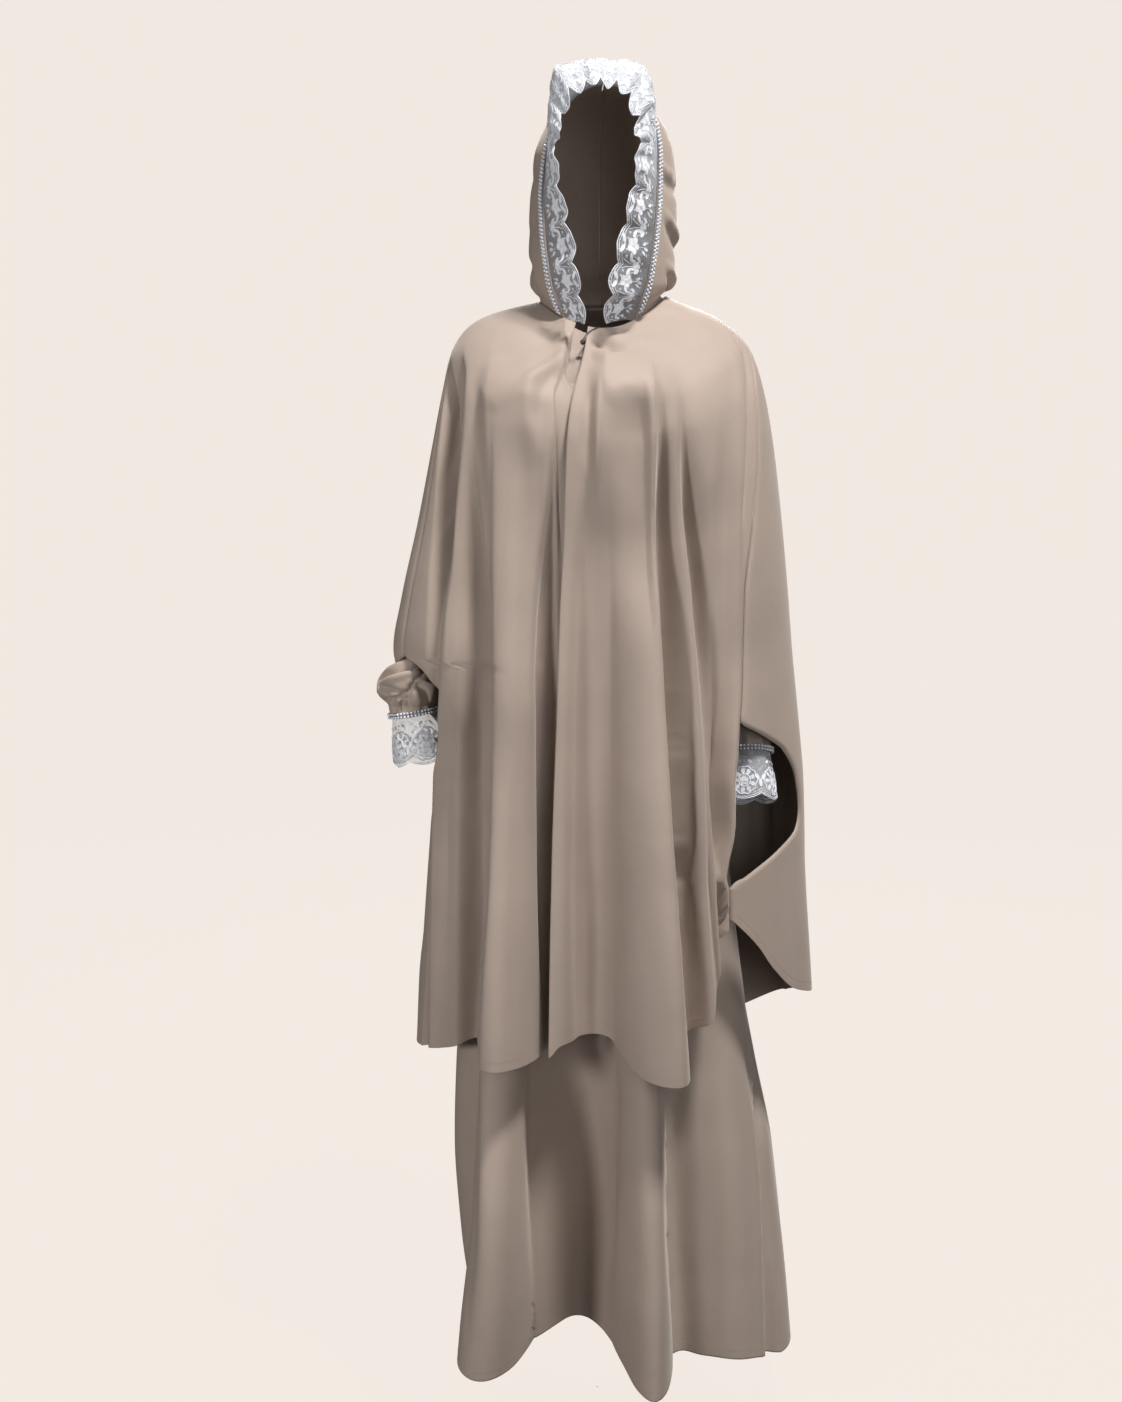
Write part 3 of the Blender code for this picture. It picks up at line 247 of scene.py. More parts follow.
# each half: its table, its side, and the angles of the cape's neckline that it follows
HOOD_HALVES = {"hood_right": (HOOD_RIGHT, -1, -127.0, -270.0), "hood_left": (HOOD_LEFT, 1, -60.0, 90.0)}
# lace frill, in millimetres: middle x, y, z, free edge x, y, z, from the wearer's right neck over the crown
# to the left neck
LACE_ROWS = (
    (-40, -112, -36, -18, -122, -44), (-52, -118, -6, -26, -136, -8), (-60, -120, 30, -32, -140, 34),
    (-66, -114, 80, -42, -138, 84), (-70, -106, 130, -54, -134, 132), (-70, -100, 186, -60, -132, 180),
    (-69, -98, 246, -56, -132, 222), (-60, -100, 286, -42, -134, 250), (-30, -102, 294, -22, -136, 262),
    (-2, -104, 295, -4, -137, 264), (28, -102, 294, 16, -136, 260), (56, -100, 284, 34, -134, 246),
    (66, -98, 244, 44, -132, 218), (65, -100, 190, 44, -132, 184), (62, -106, 130, 36, -134, 132),
    (56, -114, 80, 24, -138, 84), (48, -120, 30, 12, -140, 34), (40, -118, -6, 4, -136, -8),
    (26, -112, -36, 0, -122, -44),
)
BUTTON_AT, BUTTON_SIZE = (-0.0253, -0.1120, -0.0640), 0.0036
LOOP_PATH = ((-0.004, -0.0899, -0.0416), (-0.013, -0.0945, -0.0461), (-0.0205, -0.1035, -0.0530),
             (-0.0245, -0.1096, -0.0598))
LOOP_SIZE = 0.0009
# a garment: its rings, the t and height where its hem zone starts, its hem lines
CAPE = (CAPE_RINGS, HEM_ZONE, -0.770, (CAPE_HEM_FRONT, CAPE_HEM_BACK))
DRESS = (DRESS_RINGS, DRESS_HEM_ZONE, -1.170, (DRESS_HEM_FRONT, DRESS_HEM_BACK))


# ---------------------------------------------------------------- curves through table rows
def smooth_columns(keys, columns, at):
    """A curve through the rows that never swings past them: monotone cubic pieces, one per column."""
    keys, columns = np.asarray(keys, float), np.asarray(columns, float)
    at = np.clip(np.atleast_1d(at).astype(float), keys[0], keys[-1])
    step = np.diff(keys)[:, None]
    slope = np.diff(columns, axis=0) / step
    tangent = np.zeros_like(columns)
    tangent[0], tangent[-1] = slope[0], slope[-1]
    before, after = slope[:-1], slope[1:]
    weight_a, weight_b = 2 * step[1:] + step[:-1], step[1:] + 2 * step[:-1]
    same_way = before * after > 0
    safe_before, safe_after = np.where(same_way, before, 1.0), np.where(same_way, after, 1.0)
    mean = (weight_a + weight_b) / (weight_a / safe_before + weight_b / safe_after)
    tangent[1:-1] = np.where(same_way, mean, 0.0)
    i = np.clip(np.searchsorted(keys, at, side="right") - 1, 0, len(keys) - 2)
    h = (keys[i + 1] - keys[i])[:, None]
    u = ((at - keys[i])[:, None]) / h
    return ((2 * u**3 - 3 * u**2 + 1) * columns[i] + (u**3 - 2 * u**2 + u) * h * tangent[i]
            + (-2 * u**3 + 3 * u**2) * columns[i + 1] + (u**3 - u**2) * h * tangent[i + 1])


def from_table(table, at):
    rows = np.asarray(table, float)
    return smooth_columns(rows[:, 0], rows[:, 1:], at)


def evenly(rows, count):
    """A curve of `count` points through rows that stand evenly along it."""
    return smooth_columns(np.linspace(0, 1, len(rows)), rows, np.linspace(0, 1, count))


def smoothstep(value, low, high):
    u = np.clip((value - low) / (high - low), 0.0, 1.0)
    return u * u * (3 - 2 * u)


def run_along(line):
    """The length along a line up to each of its points."""
    return np.concatenate([[0.0], np.cumsum(np.linalg.norm(np.diff(line, axis=0), axis=1))])


def runs(grid, axis):
    """The length up to each point of a grid, down its columns (axis 0) or along its rows (axis 1)."""
    steps = np.linalg.norm(np.diff(grid, axis=axis), axis=2)
    return np.insert(np.cumsum(steps, axis=axis), 0, 0.0, axis=axis)


def points_at(line, run, at):
    """The points that lie at these lengths along a line."""
    return np.stack([np.interp(at, run, column) for column in line.T], -1)


# ---------------------------------------------------------------- the drape surface
class Ring:
    """One level of a garment: its outline by angle, with the length along it from the front centre."""

    def __init__(self, rings, t):
        left, right, front, back, zl, zr, zf, zb, square = from_table(rings, t)[0]
        self.angle = np.radians(np.linspace(-280.0, 280.0, 1681))
        c, s = np.cos(self.angle), np.sin(self.angle)
        power = 2.0 / square
        self.x = (left + right) / 2 + (right - left) / 2 * np.sign(c) * np.abs(c) ** power
        self.y = np.where(s < 0, -front, back) * np.sign(s) * np.abs(s) ** power
        self.z = np.where(c > 0, zr, zl) * c * c + np.where(s < 0, zf, zb) * s * s
        self.along = run_along(np.stack([self.x, self.y], -1))
        self.along -= np.interp(math.radians(-90), self.angle, self.along)
        self.front = (self.angle >= -math.pi) & (self.angle <= 0)

    def along_at_angle(self, degrees):
        return np.interp(np.radians(degrees), self.angle, self.along)

    def along_at_x(self, x):
        return np.interp(x, self.x[self.front], self.along[self.front])

    def points(self, along):
        """The outline's points at these lengths, and its level outward normals there."""
        x, y, z = (np.interp(along, self.along, v) for v in (self.x, self.y, self.z))
        ends = along + TANGENT_REACH, along - TANGENT_REACH
        tx, ty = (np.subtract(*(np.interp(end, self.along, v) for end in ends)) for v in (self.x, self.y))
        size = np.maximum(np.hypot(tx, ty), TINY)
        return np.stack([x, y, z], -1), np.stack([ty / size, -tx / size, np.zeros_like(x)], -1)

    def angles(self, along):
        return np.degrees(np.interp(along, self.along, self.angle))


def bump(offset, left, right, roundness):
    """One fold's cross-section: 1 on its crest, 0 past its width on each side, with a width for each side."""
    q = np.where(offset < 0, offset / left, offset / right)
    return np.where(np.abs(q) < 1, np.cos(np.clip(q, -1, 1) * math.pi / 2) ** roundness, 0.0)


def relief(folds, crest_at, t, along):
    """How far a panel's folds push its points out at one level, and how far they lean along the ring."""
    out, lean = np.zeros_like(along), np.zeros_like(along)
    for _, top, hem, start, full, depth, left, right, narrow, slant, roundness in folds:
        grown = float(smoothstep(t, start, full))
        if grown:
            width = narrow + (1 - narrow) * grown
            offset = along - crest_at(top + (hem - top) * t)
            push = depth * grown * bump(offset, left * width, right * width, roundness)
            out += push
            lean += slant * push
    return out, lean


def front_relief(folds):
    return lambda ring, t, along: relief(folds, ring.along_at_x, t, along)


def back_relief(folds):
    rows = [("back", top, hem, start, 1.0, depth, width, width, 1.0, slant, BACK_ROUNDNESS)
            for top, hem, start, depth, width, slant in folds]
    return lambda ring, t, along: relief(rows, ring.along_at_angle, t, along)


def hem_height(hem, ring, along):
    """The hem line's height: under the front it follows x, round the back it follows the angle."""
    front, back = (np.asarray(rows, float) for rows in hem)
    degrees = np.mod(ring.angles(along) + 200.0, 360.0) - 200.0
    by_x = from_table(front, np.interp(along, ring.along, ring.x))[:, 0]
    by_angle = from_table(back, np.where(degrees < -150, degrees + 360, degrees))[:, 0]
    under_front = (degrees < back[0, 0]) & (degrees > back[-1, 0] - 360)
    return np.where(under_front, by_x, by_angle)


def panel_row(garment, t, low, high, columns, folds, seams):
    """Points across one panel at one level, from `low` to `high` along the ring."""
    rings, zone, zone_z, hem = garment
    ring = Ring(rings, t)
    along = low + (high - low) * columns
    out, lean = folds(ring, t, along)
    for seam in seams:
        if seam is not None:
            near = smoothstep(np.abs(along - seam), 0.0, FOLD_CALM)
            out, lean = out * near, lean * near
    base, normal = ring.points(along + lean)
    if t > zone:
        base[:, 2] = zone_z + (hem_height(hem, ring, along) - zone_z) * (t - zone) / (1 - zone)
    return base + normal * out[:, None]


def even_columns(row_at, count):
    """Columns that split a row into steps of equal length, so that deep folds get their share."""
    fine = np.linspace(0, 1, 801)
    length = run_along(row_at(fine))
    return np.interp(np.linspace(0, length[-1], count), length, fine)


def levels_to(count, extra):
    """Even levels down a panel, with the extra ones in place of any that lie too close to them."""
    fixed = np.unique(np.round(np.concatenate([[0.0, 1.0], HEM_ROWS, extra]), 5))
    even = np.linspace(0, 1, int(count * FINE))
    clear = np.abs(even[:, None] - fixed[None]).min(axis=1) > LEVEL_SPACE
    return np.sort(np.concatenate([fixed, even[clear]]))


# ---------------------------------------------------------------- sheets of cloth
def outward_normals(grid, closed=False, centre=None):
    """A grid's normals: rows run down it, columns to the wearer's left round the front. With a centre, they
    are turned away from it."""
    across = np.roll(grid, -1, axis=1) - np.roll(grid, 1, axis=1) if closed else np.gradient(grid, axis=1)
    normal = np.cross(np.gradient(grid, axis=0), across)
    normal /= np.maximum(np.linalg.norm(normal, axis=2, keepdims=True), TINY)
    return -normal if centre is not None and ((grid - centre) * normal).sum() < 0 else normal


def crease_push(place, creases):
    """How far creases move points out (+) or in (-)."""
    push = np.zeros(place.shape[:-1])
    for path, left, right, depth in creases:
        path = np.array(path, float) / MM
        start = run_along(path)
        lengths = np.diff(start)
        near, side, at = np.full(push.shape, 9.0), np.ones(push.shape), np.zeros(push.shape)
        for k, (a, b) in enumerate(zip(path[:-1], path[1:])):
            ahead = (b - a) / lengths[k]
            rel = place - a
            u = np.clip(rel @ ahead, 0, lengths[k])
            gap = rel - u[..., None] * ahead
            d = np.linalg.norm(gap, axis=-1)
            closer = d < near
            near = np.where(closer, d, near)
            side = np.where(closer, np.sign(gap[..., 0] * -ahead[1] + gap[..., 1] * ahead[0]), side)
            at = np.where(closer, (start[k] + u) / start[-1], at)
        width = np.where(side > 0, left, right) / MM
        fade = smoothstep(np.minimum(at * 5.0, (1.02 - at) * 2.2), 0, 1)   # at its two ends
        q = near / np.maximum(width * (0.45 + 0.55 * fade), 1e-5)
        push += depth / MM * fade * np.exp(-q * q)
    return push


def smoothed(grid):
    """The grid with its folds averaged out, to give the direction in which creases press."""
    for axis, reach in ((1, grid.shape[1] // 14), (0, grid.shape[0] // 24)):
        pad = [(0, 0)] * 3
        pad[axis] = (reach, reach)
        padded = np.pad(grid, pad, mode="reflect", reflect_type="odd")
        total = np.cumsum(np.insert(padded, 0, 0.0, axis=axis), axis=axis)
        count, width = grid.shape[axis], 2 * reach + 1
        upper, lower = (np.take(total, range(k, k + count), axis=axis) for k in (width, 0))
        grid = (upper - lower) / width
    return grid


def creased(grid, creases, by_angle, seams):
    """The grid with its creases pressed in, and its normals. `seams` says which ends of its rows are sewn."""
    if by_angle:
        turn = np.unwrap(np.arctan2(grid[..., 1], grid[..., 0]), axis=1)
        place = np.stack([turn * BACK_RADIUS, grid[..., 2]], -1)
    else:
        place = grid[..., [0, 2]]
    push = crease_push(place, creases)
    run = runs(grid, 1)
    for distance, sewn in ((run, seams[0]), (run[:, -1:] - run, seams[1])):
        if sewn:
            push = push * smoothstep(distance, 0.0, SEAM_CALM)
            push += SEAM_DIP * np.exp(-(distance / SEAM_DIP_WIDTH) ** 2)
    grid = grid + outward_normals(smoothed(grid)) * push[..., None]
    return grid, outward_normals(grid)


def mesh_object(name, points, faces, smooth=True):
    mesh = bpy.data.meshes.new(name)
    mesh.from_pydata(np.asarray(points, float).tolist(), [], [list(map(int, face)) for face in faces])
    if smooth:
        mesh.shade_smooth()
    mesh.update()
    obj = bpy.data.objects.new(name, mesh)
    bpy.context.scene.collection.objects.link(obj)
    return obj


def grid_faces(rows, cols, closed=False):
    index = np.arange(rows * cols).reshape(rows, cols)
    if closed:
        index = np.concatenate([index, index[:, :1]], axis=1)
    return np.stack([index[:-1, :-1], index[1:, :-1], index[1:, 1:], index[:-1, 1:]], -1).reshape(-1, 4)


def sheet_object(name, grid, closed=False, turned=None):
    """A sheet through the grid, with its lengths in metres as UVs. `turned` makes it a cloth shell and says
    which of its edges are turned: top, bottom, first column, last column."""
    rows, cols = grid.shape[:2]
    obj = mesh_object(name, grid.reshape(-1, 3), grid_faces(rows, cols, closed))
    u, v = runs(grid, 1).mean(0), runs(grid, 0).mean(1)
    if closed:
        u = np.append(u, 2 * u[-1] - u[-2])
    metres = np.stack(np.meshgrid(u, v), -1).reshape(-1, 2)[grid_faces(rows, len(u))]
    layer = obj.data.uv_layers.new(name="metres")
    layer.data.foreach_set("uv", metres.reshape(-1).astype(np.float32))
    if turned is not None:
        thicken(obj, grid, turned)
    return obj


def thicken(obj, grid, turned):
    """Gives a sheet the cloth's thickness, and more where a hem is turned."""
    solid = obj.modifiers.new("cloth", "SOLIDIFY")
    solid.thickness, solid.offset = HEM_SHELL, 0.0
    solid.use_even_offset, solid.use_rim = False, True
    solid.vertex_group = "turned"
    low = SHELL / HEM_SHELL
    weight = np.full(grid.shape[:2], low)
    if any(turned):
        down, across = runs(grid, 0), runs(grid, 1)
        edges = (down, down[-1:] - down, across, across[:, -1:] - across)
        near = np.min([distance for distance, on in zip(edges, turned) if on], axis=0)
        weight += (1 - low) * (1 - smoothstep(near, HEM_WIDTH - HEM_STEP, HEM_WIDTH + HEM_STEP))
    weight = np.round(weight, 2).reshape(-1)
    group = obj.vertex_groups.new(name="turned")
    for level in np.unique(weight):
        group.add(np.flatnonzero(weight == level).tolist(), float(level), "REPLACE")


def piece(obj, slot, material, *nodes):
    """Puts a finished piece on the garment, with its material, in place of the CAD nodes it stands for. Its
    slot is not used.
    """
    obj.data.materials.clear()
    obj.data.materials.append(material)
    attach(obj, "root")
    if nodes:
        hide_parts(*nodes)
    return obj


class Surface:
    """Points and outward normals anywhere on a grid: row and column as shares of the grid."""

    def __init__(self, grid, normals, closed=False):
        if closed:
            grid, normals = (np.concatenate([v, v[:, :1]], axis=1) for v in (grid, normals))
        self.grid, self.normals, self.closed = grid, normals, closed
        self.down, self.across = runs(grid, 0), runs(grid, 1)

    def at(self, row, column):
        rows, cols = self.grid.shape[:2]
        row, column = np.broadcast_arrays(np.asarray(row, float), np.asarray(column, float))
        if self.closed:
            column = np.mod(column, 1.0)
        r = np.clip(row, 0, 1) * (rows - 1)
        c = np.clip(column, 0, 1) * (cols - 1)
        i, j = np.minimum(r.astype(int), rows - 2), np.minimum(c.astype(int), cols - 2)
        fr, fc = (r - i)[..., None], (c - j)[..., None]
        points, normals = ((v[i, j] * (1 - fc) + v[i, j + 1] * fc) * (1 - fr)
                           + (v[i + 1, j] * (1 - fc) + v[i + 1, j + 1] * fc) * fr
                           for v in (self.grid, self.normals))
        return points, normals / np.maximum(np.linalg.norm(normals, axis=-1, keepdims=True), TINY)

    def row_above_hem(self, column, distance):
        """The row share that lies this far up the cloth from the bottom edge, at each column share."""
        rows, cols = self.grid.shape[:2]
        up = (self.down[-1:] - self.down)[:, np.round(column * (cols - 1)).astype(int)]
        return np.array([np.interp(distance, u[::-1], np.arange(rows)[::-1]) for u in up.T]) / (rows - 1)


# ---------------------------------------------------------------- sewing, cords and beads
class Pieces:
    """Gathers many small shapes into one mesh."""

    def __init__(self):
        self.points, self.faces, self.count = [], [], 0

    def add(self, points, faces):
        points = np.asarray(points, float).reshape(-1, 3)
        self.points.append(points)
        self.faces.extend((np.asarray(faces) + self.count).tolist())
        self.count += len(points)

    def cord(self, line, normals, radius, closed=False, flat=CORD_FLAT):
        """A thread of four sides along a line that lies on a surface with these normals."""
        ahead = np.roll(line, -1, 0) - np.roll(line, 1, 0) if closed else np.gradient(line, axis=0)
        side = np.cross(ahead, normals)
        side /= np.maximum(np.linalg.norm(side, axis=1, keepdims=True), TINY)
        ring = np.stack([line + side * radius, line + normals * radius * flat,
                         line - side * radius, line - normals * radius * flat], 1)
        index = np.arange(4 * len(line)).reshape(-1, 4)
        ends = [] if closed else [index[0, ::-1].tolist(), index[-1].tolist()]
        if closed:
            index = np.concatenate([index, index[:1]])
        beside = np.roll(index, -1, axis=1)
        faces = np.stack([index[:-1], beside[:-1], beside[1:], index[1:]], -1).reshape(-1, 4)
        self.add(ring, faces.tolist() + ends)

    def patch(self, grid):
        """A small open sheet through a grid of points."""
        self.add(grid, grid_faces(*grid.shape[:2]))

    def build(self, name):
        return mesh_object(name, np.concatenate(self.points), self.faces)


def stitches(pieces, line, normals):
    """Straight stitches along a line, each a short thread that dips at its ends."""
    run = run_along(line)
    for start in np.arange(0.001, run[-1] - STITCH, STITCH + STITCH_SPACE):
        at = start + np.array([0.0, 0.25, 0.75, 1.0]) * STITCH
        points, normal = points_at(line, run, at), points_at(normals, run, at)
        lift = np.array([-0.6, 0.7, 0.7, -0.6])[:, None] * STITCH_RADIUS
        pieces.cord(points + normal * lift, normal, STITCH_RADIUS)


def band_object(name, edges, closed=False):
    """A tape through the lines of its four long edges."""
    index = np.arange(4 * len(edges[0])).reshape(4, -1)
    ends = [] if closed else [index[:, 0], index[[0, 3, 2, 1], -1]]
    if closed:
        index = np.concatenate([index, index[:, :1]], axis=1)
    beside = np.roll(index, -1, axis=0)
    faces = np.stack([index[:, :-1], index[:, 1:], beside[:, 1:], beside[:, :-1]], -1).reshape(-1, 4)
    return mesh_object(name, np.concatenate(edges), [*faces, *ends])


GOLDEN = (1 + 5 ** 0.5) / 2
BEAD = np.array([(-1, GOLDEN, 0), (1, GOLDEN, 0), (-1, -GOLDEN, 0), (1, -GOLDEN, 0), (0, -1, GOLDEN),
                 (0, 1, GOLDEN), (0, -1, -GOLDEN), (0, 1, -GOLDEN), (GOLDEN, 0, -1), (GOLDEN, 0, 1),
                 (-GOLDEN, 0, -1), (-GOLDEN, 0, 1)]) / (1 + GOLDEN ** 2) ** 0.5
BEAD_FACES = np.array([(0, 11, 5), (0, 5, 1), (0, 1, 7), (0, 7, 10), (0, 10, 11), (1, 5, 9), (5, 11, 4),
                       (11, 10, 2), (10, 7, 6), (7, 1, 8), (3, 9, 4), (3, 4, 2), (3, 2, 6), (3, 6, 8),
                       (3, 8, 9), (4, 9, 5), (2, 4, 11), (6, 2, 10), (8, 6, 7), (9, 8, 1)])


def beads(name, rows, size, seed):
    """Faceted beads of twenty sides in rows, each turned its own way."""
    centres = np.concatenate(rows)
    turns = np.random.default_rng(seed).normal(size=(len(centres), 4))
    w, x, y, z = (turns / np.linalg.norm(turns, axis=1, keepdims=True)).T
    turn = np.stack([1 - 2 * (y * y + z * z), 2 * (x * y - z * w), 2 * (x * z + y * w),
                     2 * (x * y + z * w), 1 - 2 * (x * x + z * z), 2 * (y * z - x * w),
                     2 * (x * z - y * w), 2 * (y * z + x * w), 1 - 2 * (x * x + y * y)], -1).reshape(-1, 3, 3)
    points = centres[:, None] + (BEAD @ turn.transpose(0, 2, 1)) * size
    faces = BEAD_FACES[None] + (np.arange(len(centres)) * len(BEAD))[:, None, None]
    return piece(mesh_object(name, points.reshape(-1, 3), faces.reshape(-1, 3), smooth=False), "beads", BEADS)


# ---------------------------------------------------------------- lace
class Frill:
    """A lace frill: s runs along it in metres, b from its free edge (0) back to the tape."""

    def __init__(self, surface, length, depth, repeats, cusp):
        self.surface, self.length, self.depth, self.repeats, self.cusp = surface, length, depth, repeats, cusp
        self.step = length / repeats

    def edge(self, s):
        """Depth lost to the scallops at this place along the frill."""
        return self.cusp * (1 - np.abs(np.sin(math.pi * np.asarray(s) / self.step)) ** 0.8)

    def at(self, s, b, lift=0.0):
        points, normals = self.surface.at(1 - np.asarray(b) / self.depth, np.asarray(s) / self.length)
        return points + normals * np.asarray(lift)[..., None], normals

    def net(self, name, places, rows, closed=False):
        """The net from its tape to the scallops, through these shares of its length and depth."""
        s = places * self.length
        grid = [self.at(s, self.depth - (self.depth - self.edge(s)) * share)[0] for share in rows]
        return sheet_object(name, np.array(grid), closed=closed)


def sew_ring(pieces, frill, cx, cy, radius, lift, thread, count=8, ripple=0.0):
    turn = np.arange(count) * math.tau / count
    radius = radius * (1 + ripple * np.cos(turn * 10))
    line, normals = frill.at(cx + radius * np.cos(turn), cy + radius * np.sin(turn), lift)
    pieces.cord(line, normals, thread, closed=True)


def sew_petal(pieces, frill, cx, cy, angle, length, width):
    """A corded leaf outline, filled on both faces of the net with a low mound of stitching."""
    c, s = math.cos(angle), math.sin(angle)

    def placed(x, y, lift):
        return frill.at(cx + c * x - s * y, cy + s * x + c * y, lift)

    def swell(share):
        return width / 2 * (0.55 + 0.45 * np.sin(share * math.pi * 0.8))

    turn = np.linspace(0, math.tau, 13, endpoint=False)
    share = (1 - np.cos(turn)) / 2
    line, normals = placed(length * share, swell(share) * np.sin(turn), 0.0003)
    pieces.cord(line, normals, 0.00045, closed=True)
    u, v = np.linspace(0.12, 0.9, 5)[:, None], np.array([[-1.0, 0.0, 1.0]])
    half = swell(u) * np.sin(np.arccos(1 - 2 * u)) * 0.82
    mound = 0.0002 + 0.0004 * (1 - v * v) * np.sin(u * math.pi)
    for sign in (1, -1):
        grid, _ = placed(u * length + 0 * v, half * v, sign * mound)
        pieces.patch(grid[:, ::sign])


def sew_line(pieces, frill, path):
    line, normals = frill.at(*evenly(path, 4 * len(path) - 3).T, 0.0003)
    pieces.cord(line, normals, 0.0004)


# one repeat of the embroidery: kind, place along the repeat (share), height above the edge (m), turn, length,
# width
MOTIF = (
    ("flower", 0.50, 0.0230, 0, 0.0100, 0.0074), ("flower", 0.02, 0.0330, 20, 0.0070, 0.0052),
    ("leaf", 0.50, 0.0105, 205, 0.0115, 0.0042), ("leaf", 0.50, 0.0105, -25, 0.0115, 0.0042),
    ("leaf", 0.30, 0.0200, 150, 0.0105, 0.0040), ("leaf", 0.70, 0.0200, 30, 0.0105, 0.0040),
    ("leaf", 0.24, 0.0320, 120, 0.0095, 0.0036), ("leaf", 0.76, 0.0320, 60, 0.0095, 0.0036),
    ("leaf", 0.12, 0.0230, 100, 0.0080, 0.0034), ("leaf", 0.88, 0.0230, 80, 0.0080, 0.0034),
    ("leaf", 0.42, 0.0400, 110, 0.0090, 0.0034), ("leaf", 0.58, 0.0400, 70, 0.0090, 0.0034),
    ("leaf", 0.50, 0.0440, 90, 0.0110, 0.0036), ("dot", 0.10, 0.0440, 0, 0.0024, 0.0024),
    ("dot", 0.90, 0.0440, 0, 0.0024, 0.0024), ("dot", 0.34, 0.0520, 0, 0.0020, 0.0020),
    ("dot", 0.66, 0.0520, 0, 0.0020, 0.0020), ("dot", 0.20, 0.0140, 0, 0.0022, 0.0022),
    ("dot", 0.80, 0.0140, 0, 0.0022, 0.0022), ("dot", 0.36, 0.0130, 0, 0.0020, 0.0020),
    ("dot", 0.64, 0.0130, 0, 0.0020, 0.0020),
)
# the cuffs' lace: one corded medallion in each repeat, with leaves between its rings
CUFF_MOTIF = (
    ("flower", 0.50, 0.0250, 0, 0.0070, 0.0056), ("wreath", 0.50, 0.0250, 9, 0.0092, 0.0052),
    ("ring", 0.50, 0.0250, 0, 0.0170, 0.0009), ("ring", 0.50, 0.0250, 0, 0.0372, 0.0011),
    ("leaf", 0.00, 0.0120, 90, 0.0120, 0.0046), ("leaf", 0.04, 0.0230, 60, 0.0090, 0.0036),
    ("leaf", 0.96, 0.0230, 120, 0.0090, 0.0036), ("dot", 0.00, 0.0360, 0, 0.0030, 0.0030),
    ("leaf", 0.24, 0.0480, 30, 0.0080, 0.0034), ("leaf", 0.76, 0.0480, 150, 0.0080, 0.0034),
    ("dot", 0.50, 0.0520, 0, 0.0024, 0.0024), ("dot", 0.00, 0.0480, 0, 0.0022, 0.0022),
)
SPRAYS = (  # stems: points as (share of the repeat, height above the edge)
    ((0.50, 0.015), (0.36, 0.019), (0.22, 0.028), (0.14, 0.038)),
    ((0.50, 0.015), (0.64, 0.019), (0.78, 0.028), (0.86, 0.038)),
    ((0.50, 0.034), (0.47, 0.042), (0.50, 0.050)),
    ((0.14, 0.010), (0.06, 0.018), (0.02, 0.027)), ((0.86, 0.010), (0.94, 0.018), (0.98, 0.027)),
)
SCALLOP_CORDS = ((0.0004, 0.0007), (0.0030, 0.0005), (0.0062, 0.0004))   # distance in from the edge, radius


def sew_motif(pieces, frill, s0, motif):
    """One repeat's flowers, leaves, rings and dots, as far up as the tape leaves room."""
    for kind, share, high, turn, length, width in motif:
        cx, angle = s0 + share * frill.step, math.radians(turn)
        high = high + float(frill.edge(cx)) * 0.5
        if high > frill.depth - 0.012:
            continue
        if kind == "flower":
            for n in range(5):
                sew_petal(pieces, frill, cx, high, angle + n * math.tau / 5 + 0.31, length, width)
            sew_ring(pieces, frill, cx, high, 0.0015, 0.0008, 0.0006)
        elif kind == "leaf":
            sew_petal(pieces, frill, cx, high, angle, length, width)
        elif kind == "wreath":   # turn is how many leaves stand round the ring
            for a in np.arange(turn) * math.tau / turn:
                x, y = cx + WREATH * math.cos(a), high + WREATH * math.sin(a)
                sew_petal(pieces, frill, x, y, a, length, width)
        elif kind == "ring":     # length is the ring's diameter, width its cord
            sew_ring(pieces, frill, cx, high, length / 2, 0.0004, width, 40, 0.06)
        else:
            sew_ring(pieces, frill, cx, high, length / 2, 0.0003, 0.00045)


def sew_sprays(pieces, frill, s0, sprays):
    for path in sprays:
        along = [s0 + share * frill.step for share, _ in path]
        path = [(s, high + float(frill.edge(s)) * 0.5) for s, (_, high) in zip(along, path)]
        if max(high for _, high in path) < frill.depth - 0.008:
            sew_line(pieces, frill, path)


def sew_scallop(pieces, frill, s0):
    """The cords along one scallop, and the bars between its two outer cords."""
    along = s0 + np.linspace(0.0, frill.step, 15)
    for inset, thread in SCALLOP_CORDS:
        pieces.cord(*frill.at(along, frill.edge(along) + inset, 0.0003), thread)
    ends = [inset for inset, _ in SCALLOP_CORDS[:2]]
    for share in np.linspace(0.08, 0.92, 8):
        s = np.full(2, s0 + share * frill.step)
        pieces.cord(*frill.at(s, frill.edge(s) + ends, 0.0003), 0.0004)


def embroider(name, frill, motif, sprays):
    pieces = Pieces()
    for k in range(frill.repeats):
        s0 = k * frill.step
        sew_motif(pieces, frill, s0, motif)
        sew_sprays(pieces, frill, s0, sprays)
        sew_scallop(pieces, frill, s0)
    return piece(pieces.build(name), "lace", EMBROIDERY)


